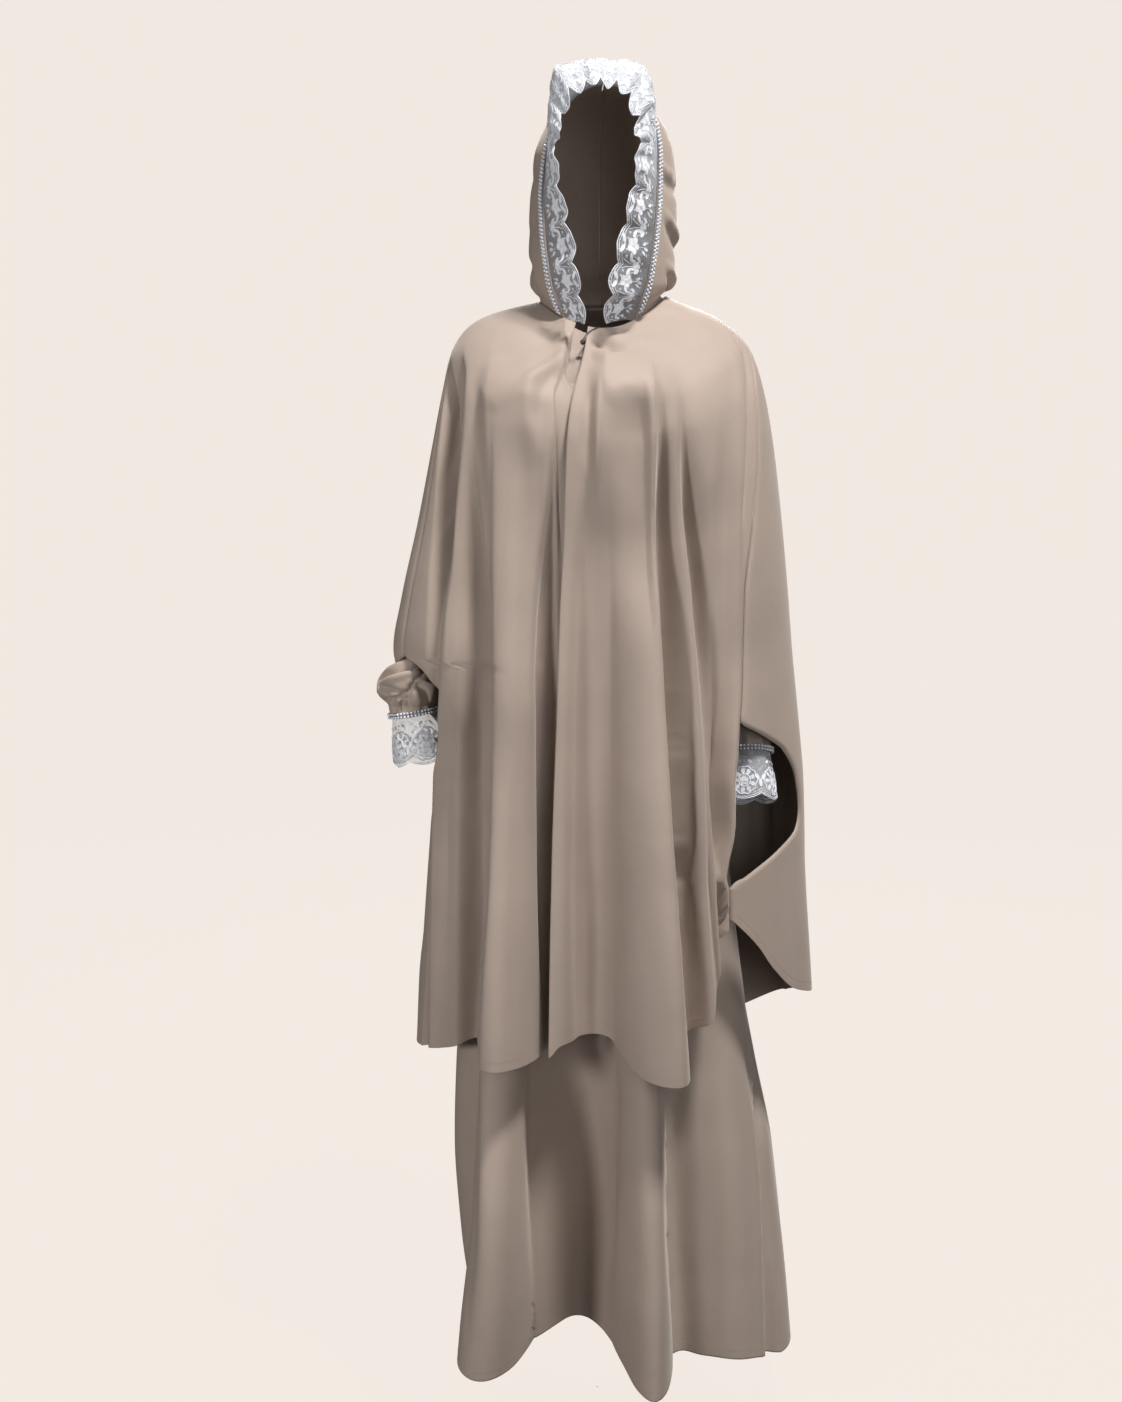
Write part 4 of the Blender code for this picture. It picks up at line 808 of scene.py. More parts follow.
# ---------------------------------------------------------------- materials
class Shader:
    """A Principled material and its nodes. Constants go straight on its sockets."""

    def __init__(self, name, base, roughness, **constants):
        self.material = bpy.data.materials.new(name)
        self.material.use_nodes = True
        self.nodes, self.links = self.material.node_tree.nodes, self.material.node_tree.links
        self.inputs = self.nodes["Principled BSDF"].inputs
        for socket, value in {"Base_Color": (*base, 1), "Roughness": roughness, **constants}.items():
            self.inputs[socket.replace("_", " ")].default_value = value

    def node(self, kind, source=None, **settings):
        """A node fed from `source`. A setting that is called in_ and a number goes on that input."""
        made = self.nodes.new("ShaderNode" + kind)
        for key, value in settings.items():
            if key.startswith("in_"):
                made.inputs[int(key[3:])].default_value = value
            else:
                setattr(made, key, value)
        if source is not None:
            self.links.new(source, made.inputs[0])
        return made

    def maths(self, operation, *values):
        made = self.node("Math", operation=operation)
        for socket, value in zip(made.inputs, values):
            if isinstance(value, (int, float)):
                socket.default_value = value
            else:
                self.links.new(value, socket)
        return made.outputs[0]

    def metres(self):
        """The lengths along the cloth: both at once, across it and down it."""
        both = self.node("UVMap", uv_map="metres").outputs[0]
        split = self.node("SeparateXYZ", both)
        return both, split.outputs[0], split.outputs[1]

    def place(self):
        return self.node("TexCoord").outputs["Object"]

    def tone(self, dark, pale, reach=(0.0, 1.0), **noise):
        """A slow change from one colour to another, and the noise behind it."""
        cloud = self.node("TexNoise", self.place(), **noise).outputs[0]
        ramp = self.node("ValToRGB", cloud)
        for element, position, colour in zip(ramp.color_ramp.elements, reach, (dark, pale)):
            element.position, element.color = position, (*colour, 1)
        return cloud, ramp.outputs[0]

    def bump(self, height, strength, distance, under=None):
        made = self.node("Bump", in_0=strength, in_1=distance)
        self.links.new(height, made.inputs["Height"])
        if under is not None:
            self.links.new(under, made.inputs["Normal"])
        return made.outputs[0]


def scaled(colour, share):
    return [min(c * share, 1) for c in colour]


def crepe_material(name, base, tint, roughness):
    """Satin-faced crepe: a fine uneven grain over a plain weave, with slow changes of tone and gloss."""
    look = Shader(name, base, roughness, Sheen_Weight=0.30, Sheen_Roughness=0.45, Specular_IOR_Level=0.25,
                  Sheen_Tint=(1.0, 0.93, 0.86, 1))
    metres, u, v = look.metres()
    warp, weft = (look.maths("SINE", look.maths("MULTIPLY", way, math.tau / pitch))
                  for way, pitch in ((u, 0.0006), (v, 0.0005)))
    weave = look.maths("MULTIPLY", warp, weft)
    stretched = look.node("Mapping", metres, in_3=(900.0, 420.0, 900.0)).outputs[0]
    grain = look.node("TexNoise", stretched, in_2=1.0, in_3=3.0, in_4=0.6).outputs[0]
    height = look.maths("ADD", look.maths("MULTIPLY", weave, 0.25), look.maths("MULTIPLY", grain, 1.2))
    waves = look.node("TexNoise", look.place(), in_2=16.0, in_3=3.0, in_4=0.5).outputs[0]
    look.links.new(look.bump(waves, 0.25, 0.004, look.bump(height, 0.18, 0.00035)), look.inputs["Normal"])
    cloud, colour = look.tone(scaled(base, 0.95), tint, (0.3, 0.7), in_2=7.0, in_3=4.0, in_4=0.55)
    thread = look.node("Mix", data_type="RGBA", blend_type="MULTIPLY", in_0=0.10)
    look.links.new(colour, thread.inputs[6])
    look.links.new(grain, thread.inputs[7])
    look.links.new(thread.outputs[2], look.inputs["Base Color"])
    gloss = look.maths("ADD", look.maths("MULTIPLY", cloud, 0.10), roughness - 0.05)
    look.links.new(gloss, look.inputs["Roughness"])
    return look.material


def net_material(name, base, crown=None):
    """Fine net: three sets of threads at 60 degrees, nearly clear between them. `crown` is the two heights
    between which a lining sets in."""
    cell, thread, cover = 0.0013, 0.13, 0.05
    look = Shader(name, base, 0.7, Sheen_Weight=0.2)
    _, u, v = look.metres()
    threads = []
    for angle in (0, math.pi / 3, 2 * math.pi / 3):
        across = look.maths("ADD", look.maths("MULTIPLY", u, math.cos(angle) / cell),
                            look.maths("MULTIPLY", v, math.sin(angle) / cell))
        near = look.maths("ABSOLUTE", look.maths("SUBTRACT", look.maths("FRACT", across), 0.5))
        threads.append(look.maths("LESS_THAN", near, thread / 2))
    solid = look.maths("MAXIMUM", look.maths("MAXIMUM", *threads[:2]), threads[2])
    alpha = look.maths("ADD", look.maths("MULTIPLY", solid, 1 - cover), cover)
    if crown:
        height = look.node("SeparateXYZ", look.place()).outputs[2]
        lined = look.node("MapRange", height, interpolation_type="SMOOTHSTEP", in_1=crown[0], in_2=crown[1],
                          in_3=0.0, in_4=0.75)
        alpha = look.maths("MAXIMUM", alpha, lined.outputs[0])
    look.links.new(alpha, look.inputs["Alpha"])
    _, colour = look.tone(scaled(base, 0.85), base, in_2=60.0, in_3=2.0)
    look.links.new(colour, look.inputs["Base Color"])
    return look.material


def thread_material(name, base, roughness=0.45):
    """Satin-stitch thread: lustrous, with fine parallel ridges."""
    look = Shader(name, base, roughness, Sheen_Weight=0.4)
    ridges = look.node("TexWave", look.place(), in_1=900.0, in_2=1.5).outputs["Fac"]
    look.links.new(look.bump(ridges, 0.4, 0.0002), look.inputs["Normal"])
    _, colour = look.tone(scaled(base, 0.82), scaled(base, 1.06), in_2=180.0)
    look.links.new(colour, look.inputs["Base Color"])
    return look.material


CREPE = crepe_material("taupe_crepe", (0.388, 0.313, 0.266), (0.418, 0.338, 0.288), 0.58)
THREAD = thread_material("taupe_thread", (0.36, 0.28, 0.22), 0.6)
NET = net_material("lace_net", (0.80, 0.84, 0.90))
HOOD_NET = net_material("lace_net_lined", (0.58, 0.61, 0.66), crown=(0.08, 0.20))
EMBROIDERY = thread_material("lace_embroidery", (0.84, 0.86, 0.92))
TAPE = thread_material("trim_tape", (0.24, 0.25, 0.29), 0.7)
BEADS = Shader("silver_beads", (0.88, 0.90, 0.95), 0.14, Metallic=0.10, Coat_Weight=0.6).material
BUTTON = Shader("dark_button", (0.035, 0.025, 0.022), 0.28, Coat_Weight=0.3).material
CORD = thread_material("loop_cord", (0.05, 0.035, 0.03), 0.6)


# ---------------------------------------------------------------- creases
# in millimetres: path of (u, z) places, width on the left of the way it runs, width on the right of it, with
# u to the right and z up, out (+) or in (-)
# u is x on the fronts, and runs round the garment from the wearer's left side on the backs
CAPE_RIGHT_CREASES = (
    # the valley left of the big front fold, and the fold's own crest
    (((-169, -190), (-166, -244), (-163, -320), (-156, -399), (-149, -450), (-149, -540), (-151, -660),
     (-156, -780), (-164, -900), (-178, -1200)), 7.5, 30, -26.5),
    (((-180, -180), (-182, -320), (-178, -480), (-179, -700), (-190, -1150)), 14, 18, 11),
    (((-131, -140), (-132, -230), (-134, -350), (-134, -480), (-138, -640), (-142, -760), (-148, -880),
     (-162, -1200)), 30, 7.5, 7.5),
    # the drop at the big fold's right edge
    (((-60, -160), (-70, -340), (-75, -480), (-74, -640), (-72, -800), (-70, -930), (-72, -1250)), 26, 8,
     -22),
    # the dark hollow under the button
    (((-38, -50), (-41, -85), (-36, -130)), 18, 5, -25),
    # folds drawn to the neck closure
    (((-34, -64), (-62, -94), (-88, -116), (-118, -136)), 10, 6, 5.8),
    (((-48, -56), (-88, -70), (-130, -80), (-165, -92)), 14, 18, -4.2),
    (((-50, -92), (-66, -112), (-78, -136), (-80, -165), (-76, -215)), 14, 9, -5),
    # the bust's lower edge
    (((-146, -158), (-130, -143), (-106, -137), (-86, -142), (-66, -160)), 40, 14, 3.2),
    (((-165, -150), (-46, -146)), 46, 150, 14),
    (((-104, -150), (-100, -240), (-100, -400), (-104, -600)), 24, 22, -7),
    # the side, from shoulder to hem
    (((-186, -60), (-188, -150), (-196, -260), (-206, -360), (-212, -450)), 7.5, 18, -18),
    (((-174, -80), (-178, -200), (-186, -310), (-196, -420)), 14, 7, 6),
    (((-186, -420), (-192, -560), (-203, -720), (-212, -880), (-224, -1150)), 22, 16, 7),
    (((-112, -460), (-113, -620), (-117, -800), (-121, -1150)), 16, 20, -4),
)
CAPE_LEFT_CREASES = (
    # the valley inside the front edge, the sharp right edges of the two big folds and of the third
    (((-14, -170), (-17, -297), (-20, -400), (-23, -500), (-25, -604), (-25, -844), (-20, -1200)), 40, 15,
     -14),
    (((66, -75), (69, -160), (74, -291), (80, -400), (85, -520), (93, -670), (104, -800), (117, -970),
     (132, -1250)), 30, 6.2, -23),
    (((95, -110), (101, -180), (111, -288), (124, -390), (134, -480), (147, -620), (158, -740), (166, -880),
     (182, -1200)), 28, 6, -21),
    (((152, -160), (163, -300), (172, -440), (177, -560), (182, -800)), 16, 14, -8),
    # the narrow grooves at the foot of the two big folds
    (((71, -90), (73, -160), (78, -291), (84, -400), (89, -520), (97, -670), (108, -800), (121, -970),
     (136, -1250)), 10, 5, -8.5),
    (((99, -120), (105, -180), (115, -288), (128, -390), (138, -480), (151, -620), (162, -740), (170, -880),
     (186, -1200)), 10, 5, -8),
    (((52, -110), (56, -160), (60, -280), (66, -400), (73, -540), (82, -700), (94, -860), (116, -1200)), 6,
     24, 7),
    (((86, -140), (99, -288), (111, -400), (122, -520), (135, -680), (154, -1000)), 6, 18, 5.6),
    # folds drawn to the neck closure
    (((-12, -48), (16, -60), (50, -64), (84, -56)), 8, 10, 5),
    (((-16, -54), (-2, -68), (14, -77), (36, -78)), 6, 6, -7),
    (((-14, -78), (4, -90), (28, -86)), 7, 7, 4.2),
    (((-14, -120), (-17, -160), (-19, -200), (-18, -250)), 6, 8, -7),
    (((-6, -112), (-8, -150), (-8, -200), (-10, -280)), 4, 5, 5),
    # the bust's lower edge, and the hollow below it as far as the big fold's edge
    (((-8, -150), (22, -133), (52, -139), (74, -168)), 40, 14, 5.5),
    (((-26, -138), (112, -148)), 46, 150, 16),
    (((48, -120), (51, -190), (56, -290), (62, -470)), 8, 42, -20),
    # from the shoulder
    (((60, -26), (94, -20), (128, -34)), 8, 12, -3.4),
    (((150, -30), (174, -48), (190, -72), (197, -110), (197, -164), (192, -267), (188, -454), (187, -640)), 8,
     6, -8),
    (((164, -56), (180, -100), (184, -164), (180, -267), (176, -454), (176, -600)), 6, 12, 3.6),
)
# the ledge of the underlap, pressed in on the wearer's left of this line: path, height, slope
UNDERLAP_LEDGE = (
    ((-37, -62), (-43, -90), (-56, -109), (-64, -132), (-63, -204), (-60, -288), (-58, -364), (-55, -520),
     (-52, -760), (-50, -1060)), 4.2, 2.8)
CAPE_BACK_CREASES = (
    (((52, -180), (58, -340), (66, -560), (72, -800), (78, -980)), 14, 24, -8),
    (((118, -260), (112, -420), (108, -640), (112, -860), (120, -1030)), 22, 12, -10),
    (((176, -340), (172, -520), (176, -740), (184, -960)), 18, 16, 6),
    (((236, -200), (228, -380), (222, -600), (226, -840), (236, -1040)), 12, 26, -11),
    (((296, -140), (300, -260), (310, -420), (316, -640)), 20, 18, 4.5),
    (((352, -420), (348, -600), (344, -820), (350, -1040)), 24, 14, -9),
    (((424, -180), (430, -360), (440, -580), (448, -820), (450, -1030)), 14, 26, -11.5),
    (((496, -300), (500, -480), (508, -720), (516, -980)), 18, 14, 6),
    (((560, -220), (562, -400), (570, -620), (580, -860), (590, -1020)), 12, 22, -9),
    (((632, -160), (640, -330), (652, -540), (664, -780)), 22, 14, -7),
    (((250, -74), (320, -96), (400, -100), (470, -78)), 14, 10, -3.2),
    (((300, -110), (360, -128), (430, -116)), 10, 14, 2.6),
)
DRESS_FRONT_CREASES = (
    (((-170, -960), (-171, -1120), (-174, -1280), (-178, -1400)), 8, 18, -8.5),
    (((-90, -900), (-90, -1060), (-86, -1220), (-84, -1400)), 30, 9, -13),
    (((-150, -980), (-152, -1150), (-156, -1330)), 22, 8, 3.6),
    (((16, -960), (14, -1120), (10, -1290), (8, -1410)), 8, 26, -11),
    (((86, -930), (90, -1090), (94, -1260), (102, -1430)), 30, 9, -11),
    (((58, -980), (60, -1140), (64, -1330)), 8, 18, 3.6),
    (((196, -940), (222, -1110), (242, -1280), (264, -1430)), 20, 7, -8.5),
    (((-34, -1000), (-34, -1140), (-32, -1290), (-30, -1390)), 16, 14, 4),
    (((140, -960), (146, -1110), (150, -1270), (156, -1420)), 22, 22, -4),
    (((-110, -130), (-112, -200), (-110, -300)), 10, 14, -3),
    (((96, -130), (104, -220), (102, -330)), 12, 10, -3),
)
DRESS_BACK_CREASES = (
    (((70, -560), (74, -820), (80, -1100), (86, -1400)), 14, 26, -9),
    (((150, -480), (146, -760), (144, -1060), (150, -1400)), 24, 12, -10),
    (((232, -620), (236, -880), (240, -1160), (244, -1410)), 20, 18, 7),
    (((320, -420), (316, -700), (318, -1020), (326, -1400)), 12, 28, -11),
    (((410, -560), (414, -840), (420, -1140), (426, -1410)), 26, 14, -9),
    (((500, -500), (506, -800), (512, -1100), (520, -1400)), 18, 16, 6),
    (((590, -620), (600, -880), (610, -1160), (622, -1400)), 14, 24, -8.5),
)
# on a sleeve u runs round it: 0 away from the body, 63 in front, 126 against the body, 189 behind
SLEEVE_RIGHT_CREASES = (
    (((20, -240), (50, -300), (66, -380), (70, -450)), 10, 14, -4),
    # crescents over the gathered cuff
    (((6, -494), (36, -479), (64, -469), (98, -471)), 4.2, 3.4, -6.2),
    (((4, -505), (36, -489), (62, -479), (96, -478)), 4, 3.6, 5.2),
    (((0, -516), (14, -507), (40, -498), (62, -489), (104, -490)), 3.6, 3.6, -6),
    (((0, -526), (34, -508), (58, -498), (86, -497)), 4, 6.4, 4.6),
    (((4, -517), (36, -520), (66, -528)), 3.6, 3.6, -5.6),
    (((0, -527), (28, -529), (54, -527)), 3.4, 3.4, 4.2),
    (((2, -539), (31, -536), (49, -531), (72, -514)), 3.6, 3.2, -5.8),
    # gathers spreading from one pinch
    (((69, -508), (62, -528), (56, -552)), 4.2, 4, -5.6),
    (((69, -508), (84, -527), (100, -546)), 4.2, 5, -5.6),
    (((60, -526), (49, -542), (44, -562)), 4, 4, -3.6),
    (((71, -516), (76, -534), (79, -556)), 6, 6, 4),
    (((66, -474), (70, -494), (69, -520)), 3, 4.2, -4),
    (((160, -500), (190, -494), (220, -500)), 6, 8, -4.5),
    (((150, -516), (186, -512), (226, -518)), 6, 6, 3.5),
)
SLEEVE_LEFT_CREASES = (
    (((30, -240), (56, -320), (66, -420), (64, -520)), 12, 10, -4),
    (((16, -556), (50, -548), (90, -548), (118, -556)), 6, 8, 4),
    (((12, -568), (50, -561), (94, -561), (122, -568)), 5, 6, -4.5),
    (((150, -560), (190, -554), (230, -560)), 6, 7, -4),
)
# on the hood u is y: its front is at -90 and its back at 120
HOOD_CREASES = {
    "hood_right": (
        (((-60, 30), (-20, 50), (30, 62), (80, 60)), 8, 14, -5),
        (((-50, 10), (-6, 26), (40, 36)), 6, 10, 4),
        (((-66, 100), (-30, 96), (20, 104)), 10, 14, -3.6),
        (((-58, 170), (-10, 176), (40, 168)), 12, 18, -3),
        (((60, 230), (86, 180), (92, 120), (80, 60)), 14, 10, -4),
    ),
    "hood_left": (
        (((-66, 176), (-46, 168), (-20, 170)), 4, 7, 3.4),
        (((-68, 160), (-44, 150), (-10, 152), (30, 166)), 6, 10, -4),
        (((-66, 118), (-40, 100), (-6, 92), (40, 100)), 5, 9, 4),
        (((-70, 104), (-40, 82), (0, 74), (50, 80)), 8, 12, -5),
        (((-66, 50), (-36, 36), (0, 30), (50, 40)), 6, 10, 5.5),
        (((-62, 36), (-30, 20), (10, 14), (60, 22)), 6, 8, -6),
        (((56, 230), (84, 180), (92, 120), (82, 50)), 12, 12, -4),
    ),
}


# ---------------------------------------------------------------- cape
def ledge_push(place, path, height, slope):
    """How far a ledge presses in the points on the wearer's left of its line."""
    path = np.array(path, float) / MM
    z = np.clip(place[..., 1], path[-1, 1], path[0, 1])
    line_u = np.interp(-z, -path[:, 1], path[:, 0])
    grown = np.clip((path[0, 1] - place[..., 1]) / 0.030, 0, 1)
    return -height / MM * smoothstep(place[..., 0] - line_u, 0.0, slope / MM) * grown


def opening_offsets(table, t):
    return from_table(table, t)[0] if table[0][0] < t < table[-1][0] else (0.0, 0.0)


def cape_edges(panel, t):
    """Where a panel starts and ends along the ring at this level, and its seams there."""
    ring = Ring(CAPE_RINGS, t)
    left_angle, right_angle = from_table(CAPE_SEAMS, t)[0]
    hidden_x, edge_x = from_table(CAPE_FRONT_EDGES, t)[0]
    left, right = ring.along_at_angle(left_angle), ring.along_at_angle(right_angle)
    full = ring.along_at_angle(right_angle + 360)
    gap = SEAM_GAP + SLANT_GAP * math.exp(-((t - 0.18) / 0.07) ** 2)
    left_back, left_front = opening_offsets(OPENING_LEFT, t)
    right_back, right_front = opening_offsets(OPENING_RIGHT, t)
    return {
        "cape_front_right": (right + gap + right_front, ring.along_at_x(hidden_x), (right, None)),
        "cape_front_left": (ring.along_at_x(edge_x), left - gap - left_front, (None, left)),
        "cape_back": (left + gap + left_back, full - gap - right_back, (left, full)),
    }[panel]


def panel_grid(garment, edges_at, folds, count, even_at, levels):
    """A panel's grid, from the edges it has at each level."""
    def row_at(t, columns):
        low, high, seams = edges_at(t)
        return panel_row(garment, t, low, high, columns, folds, seams)

    columns = even_columns(lambda fine: row_at(even_at, fine), int(count * FINE))
    return np.array([row_at(t, columns) for t in levels])


def build_cape():
    made = {}
    openings = [np.linspace(0.494, 0.53, 9), np.linspace(0.564, 0.60, 9), np.linspace(0.70, 0.80, 15)]
    levels = levels_to(150, np.concatenate(openings))
    for name, folds, count, creases, sewn, turned in (
            ("cape_front_right", front_relief(RIGHT_FRONT_FOLDS), 160, CAPE_RIGHT_CREASES, (True, False),
             (False, True, False, True)),
            ("cape_front_left", front_relief(LEFT_FRONT_FOLDS), 160, CAPE_LEFT_CREASES, (False, True),
             (False, True, True, False)),
            ("cape_back", back_relief(BACK_FOLDS), 184, CAPE_BACK_CREASES, (True, True), HEM_ONLY)):
        grid = panel_grid(CAPE, lambda t: cape_edges(name, t), folds, count, 0.92, levels)
        grid, normals = creased(grid, creases, name == "cape_back", sewn)
        if name == "cape_front_right":
            grid = grid + normals * ledge_push(grid[..., [0, 2]], *UNDERLAP_LEDGE)[..., None]
            normals = outward_normals(grid)
        cloth = piece(sheet_object(name + "_cloth", grid, turned=turned), "crepe", CREPE, name)
        made[name] = (cloth, Surface(grid, normals))
    return made


# ---------------------------------------------------------------- dress
def armhole_level(turn):
    """The t on the dress at this turn round an armhole, from the shoulder."""
    return ARMHOLE_TOP + (ARMHOLE_BOTTOM - ARMHOLE_TOP) * (1 - np.cos(turn)) / 2


def dress_edges(front, t):
    ring = Ring(DRESS_RINGS, t)
    u = (t - ARMHOLE_TOP) / (ARMHOLE_BOTTOM - ARMHOLE_TOP)
    share = math.sqrt(max(0.0, 1 - (2 * u - 1) ** 2))   # 0 outside the armhole, 1 at its widest
    inset = SEAM_GAP + (ARMHOLE_FRONT if front else ARMHOLE_BACK) * share
    seams = tuple(ring.along_at_angle(angle) for angle in ((-180.0, 0.0) if front else (0.0, 180.0)))
    return seams[0] + inset, seams[1] - inset, seams


def build_dress():
    made = {}
    levels = levels_to(120, armhole_level(np.linspace(0, math.pi, 15)))
    for name, folds, count, creases in (
            ("dress_front", front_relief(DRESS_FRONT_FOLDS), 150, DRESS_FRONT_CREASES),
            ("dress_back", back_relief(DRESS_BACK_FOLDS), 130, DRESS_BACK_CREASES)):
        front = name == "dress_front"
        grid = panel_grid(DRESS, lambda t: dress_edges(front, t), folds, count, 0.96, levels)
        grid, normals = creased(grid, creases, not front, (True, True))
        cloth = sheet_object(name + "_cloth", grid, turned=HEM_ONLY)
        made[name] = (piece(cloth, "crepe", CREPE, name + "_top", name + "_skirt"), Surface(grid, normals))
    return made


# ---------------------------------------------------------------- sleeves and cuffs
def armhole_ring(side, count):
    """The sleeve's top edge: the armhole's outline, pulled a little into the opening and outward."""
    points = []
    for turn in np.arange(count) * math.tau / count:
        share = abs(math.sin(turn))
        ring = Ring(DRESS_RINGS, armhole_level(turn))
        reach = ARMHOLE_FRONT if math.sin(turn) > 0 else -ARMHOLE_BACK
        reach = math.copysign(max(abs(reach) * share - 0.0010, 0.0), reach)
        along = ring.along_at_angle(0.0 if side > 0 else -180.0) - side * reach
        point, normal = ring.points(np.array([along]))
        points.append(point[0] + normal[0] * 0.0017 - np.array([0, 0, 0.0033 * (1 - share) * math.cos(turn)]))
    return np.array(points)


def sleeve_frame(table, share):
    """The sleeve's centre at this share of its length, the ways ahead and forward, and its half widths."""
    x, y, z, wide, deep = from_table(table, share)[0]
    near, far = max(share - 0.02, table[0][0]), min(share + 0.02, 1.0)
    ahead = from_table(table, far)[0][:3] - from_table(table, near)[0][:3]
    ahead /= np.linalg.norm(ahead)
    forward = np.array([0.0, -1.0, 0.0])
    forward -= ahead * forward.dot(ahead)
    forward /= np.linalg.norm(forward)
    return np.array([x, y, z]), ahead, forward, wide, deep


def cuff_section(table, share, side, count, spread=0.0, drop=0.0, ripple=0.0, waves=CUFF_GATHERS, phase=0.0):
    """A ring of points across the sleeve, from the side away from the body round by the front."""
    centre, ahead, forward, wide, deep = sleeve_frame(table, share)
    outward = np.cross(forward, ahead)
    if outward[0] * side < 0:
        outward = -outward
    turn = np.arange(count) * math.tau / count
    swell = 1 + ripple * np.cos(turn * waves + phase + 0.6 * np.sin(turn * 2))
    return (centre + ahead * drop + outward * ((wide + spread) * swell * np.cos(turn))[:, None]
            + forward * ((deep + spread) * swell * np.sin(turn))[:, None])


def build_sleeve(name, table, side, creases):
    count = int(144 * FINE)
    top, first = armhole_ring(side, count), cuff_section(table, table[0][0], side, count)
    rows = [top]
    for share in np.linspace(0, 1, 12)[1:-1]:
        bow = np.array([side * math.sin(share * math.pi) * 0.006, 0, 0])
        rows.append(top + (first - top) * share + bow)
    for share in np.concatenate([np.linspace(table[0][0], 0.77, 36), np.linspace(0.78, 1.0, int(80 * FINE))]):
        gather = float(smoothstep(share, 0.905, 0.965)) * 0.05
        soft = float(smoothstep(share, 0.80, 0.90) * (1 - smoothstep(share, 0.93, 0.97))) * 0.05
        rows.append(cuff_section(table, share, side, count, ripple=gather)
                    + cuff_section(table, share, side, count, ripple=soft, waves=5, phase=1.0 + side)
                    - cuff_section(table, share, side, count))
    grid = np.array(rows)[:, ::side]
    turn = np.arange(count)[::side] / count * SLEEVE_GIRTH
    place = np.stack([np.broadcast_to(turn, grid.shape[:2]), grid[..., 2]], -1)
    normals = outward_normals(grid, closed=True, centre=grid.mean(axis=1, keepdims=True))
    grid = grid + normals * crease_push(place, creases)[..., None]   # a sleeve has no folds to average out
    cloth = sheet_object(name + "_cloth", grid, closed=True, turned=())
    return piece(cloth, "crepe", CREPE, name + "_upper", name + "_lower")


def build_cuff_tape(side_name, ring, seed):
    """The tape round a cuff and its two rows of beads."""
    # each long edge's distance out from the cuff, and along it
    edges = ((0.0019, -0.0060), (0.0036, -0.0058), (0.0036, 0.0018), (0.0019, 0.0020))
    band = band_object(f"cuff_band_{side_name}", [ring(*edge) for edge in edges], closed=True)
    piece(band, "beads", TAPE, f"cuff_tape_{side_name}")
    rows = []
    for drop in (-0.0042, 0.0003):
        line = ring(0.0047, drop, points=400)
        line = np.concatenate([line, line[:1]])
        run = run_along(line)
        rows.append(points_at(line, run, np.arange(0, run[-1] - CUFF_BEAD_GAP * 0.6, CUFF_BEAD_GAP)))
    beads(f"cuff_beads_{side_name}", rows, CUFF_BEAD, seed)


def build_cuff(side_name, table, side):
    """A cuff's lace and tape. It returns the net and its embroidery."""
    count, repeats, shares = 240, 5, np.linspace(0, 1, 25)

    def ring(spread, drop, points=count, **waves):
        return cuff_section(table, 1.0, side, points, spread=spread, drop=drop, **waves)

    base = np.array([ring(0.0075 * math.sin(share * math.pi / 2), 0.0006 + (LACE_DROP - 0.0006) * share,
                          ripple=0.055 * share, waves=repeats, phase=0.8) for share in shares])[:, ::side]
    normals = outward_normals(base, closed=True, centre=base.mean(axis=1, keepdims=True))
    surface = Surface(base, normals, closed=True)
    frill = Frill(surface, surface.across[-1, -1], LACE_DROP, repeats, 0.0075)
    net = frill.net(f"cuff_net_{side_name}", np.arange(count) / count, shares, closed=True)
    piece(net, "lace", NET, f"cuff_lace_{side_name}")
    flowers = embroider(f"cuff_embroidery_{side_name}", frill, CUFF_MOTIF, ())
    build_cuff_tape(side_name, ring, 5 + side)
    return net, flowers


# ---------------------------------------------------------------- hood
def hood_row(row, columns):
    """One row of a hood half: from the face edge, round the side, to the centre seam."""
    fx, fy, fz, sx, sy, sz, by, bz = row
    seam_x = SEAM_X + math.copysign(HOOD_SEAM_GAP, sx - SEAM_X)
    points = []
    for a in columns:
        if a < HOOD_SPLIT:
            u = 1 - a / HOOD_SPLIT
            points.append((sx + (fx - sx) * u * u, sy + (fy - sy) * u, sz + (fz - sz) * u ** 1.3))
        else:
            v = (a - HOOD_SPLIT) / (1 - HOOD_SPLIT) * math.pi / 2
            points.append((seam_x + (sx - seam_x) * math.cos(v), sy + (by - sy) * math.sin(v),
                           sz + (bz - sz) * (1 - math.cos(v))))
    return np.array(points)


def hood_grid(name, count, columns):
    """Rows of a hood half from the neck seam, where it follows the cape's neckline, up to the crown."""
    table, side, first, last = HOOD_HALVES[name]
    rows = np.array([hood_row(row, columns) for row in evenly(np.array(table) / MM, count)])
    ring = Ring(CAPE_RINGS, 0.0)
    neck, _ = ring.points(ring.along_at_angle(first + (last - first) * columns))
    neck[-1, 0] = SEAM_X + side * HOOD_SEAM_GAP
    neck = neck * np.array([0.985, 0.985, 1.0]) - np.array([0, 0, 0.0020])
    for k, share in enumerate(np.linspace(0, 1, count) * 12):   # two twelfths blend from the neckline
        pull = 1 - share * 0.7 if share < 1 else 0.3 * max(0.0, 2 - share)
        rows[k] = rows[k] * (1 - pull) + (neck + np.array([0, 0, 0.012 * min(1.0, share)])) * pull
    return rows


def build_hood():
    made = {}
    for name in HOOD_HALVES:
        grid = hood_grid(name, int(110 * FINE), np.linspace(0, 1, int(90 * FINE)))
        normals = outward_normals(grid, centre=np.array([SEAM_X, 0.02, 0.12]))
        grid = grid + normals * crease_push(grid[..., [1, 2]], HOOD_CREASES[name])[..., None]
        cloth = sheet_object(name + "_cloth", grid, turned=(False, False, True, False))
        made[name] = piece(cloth, "crepe", CREPE, name)
    return made


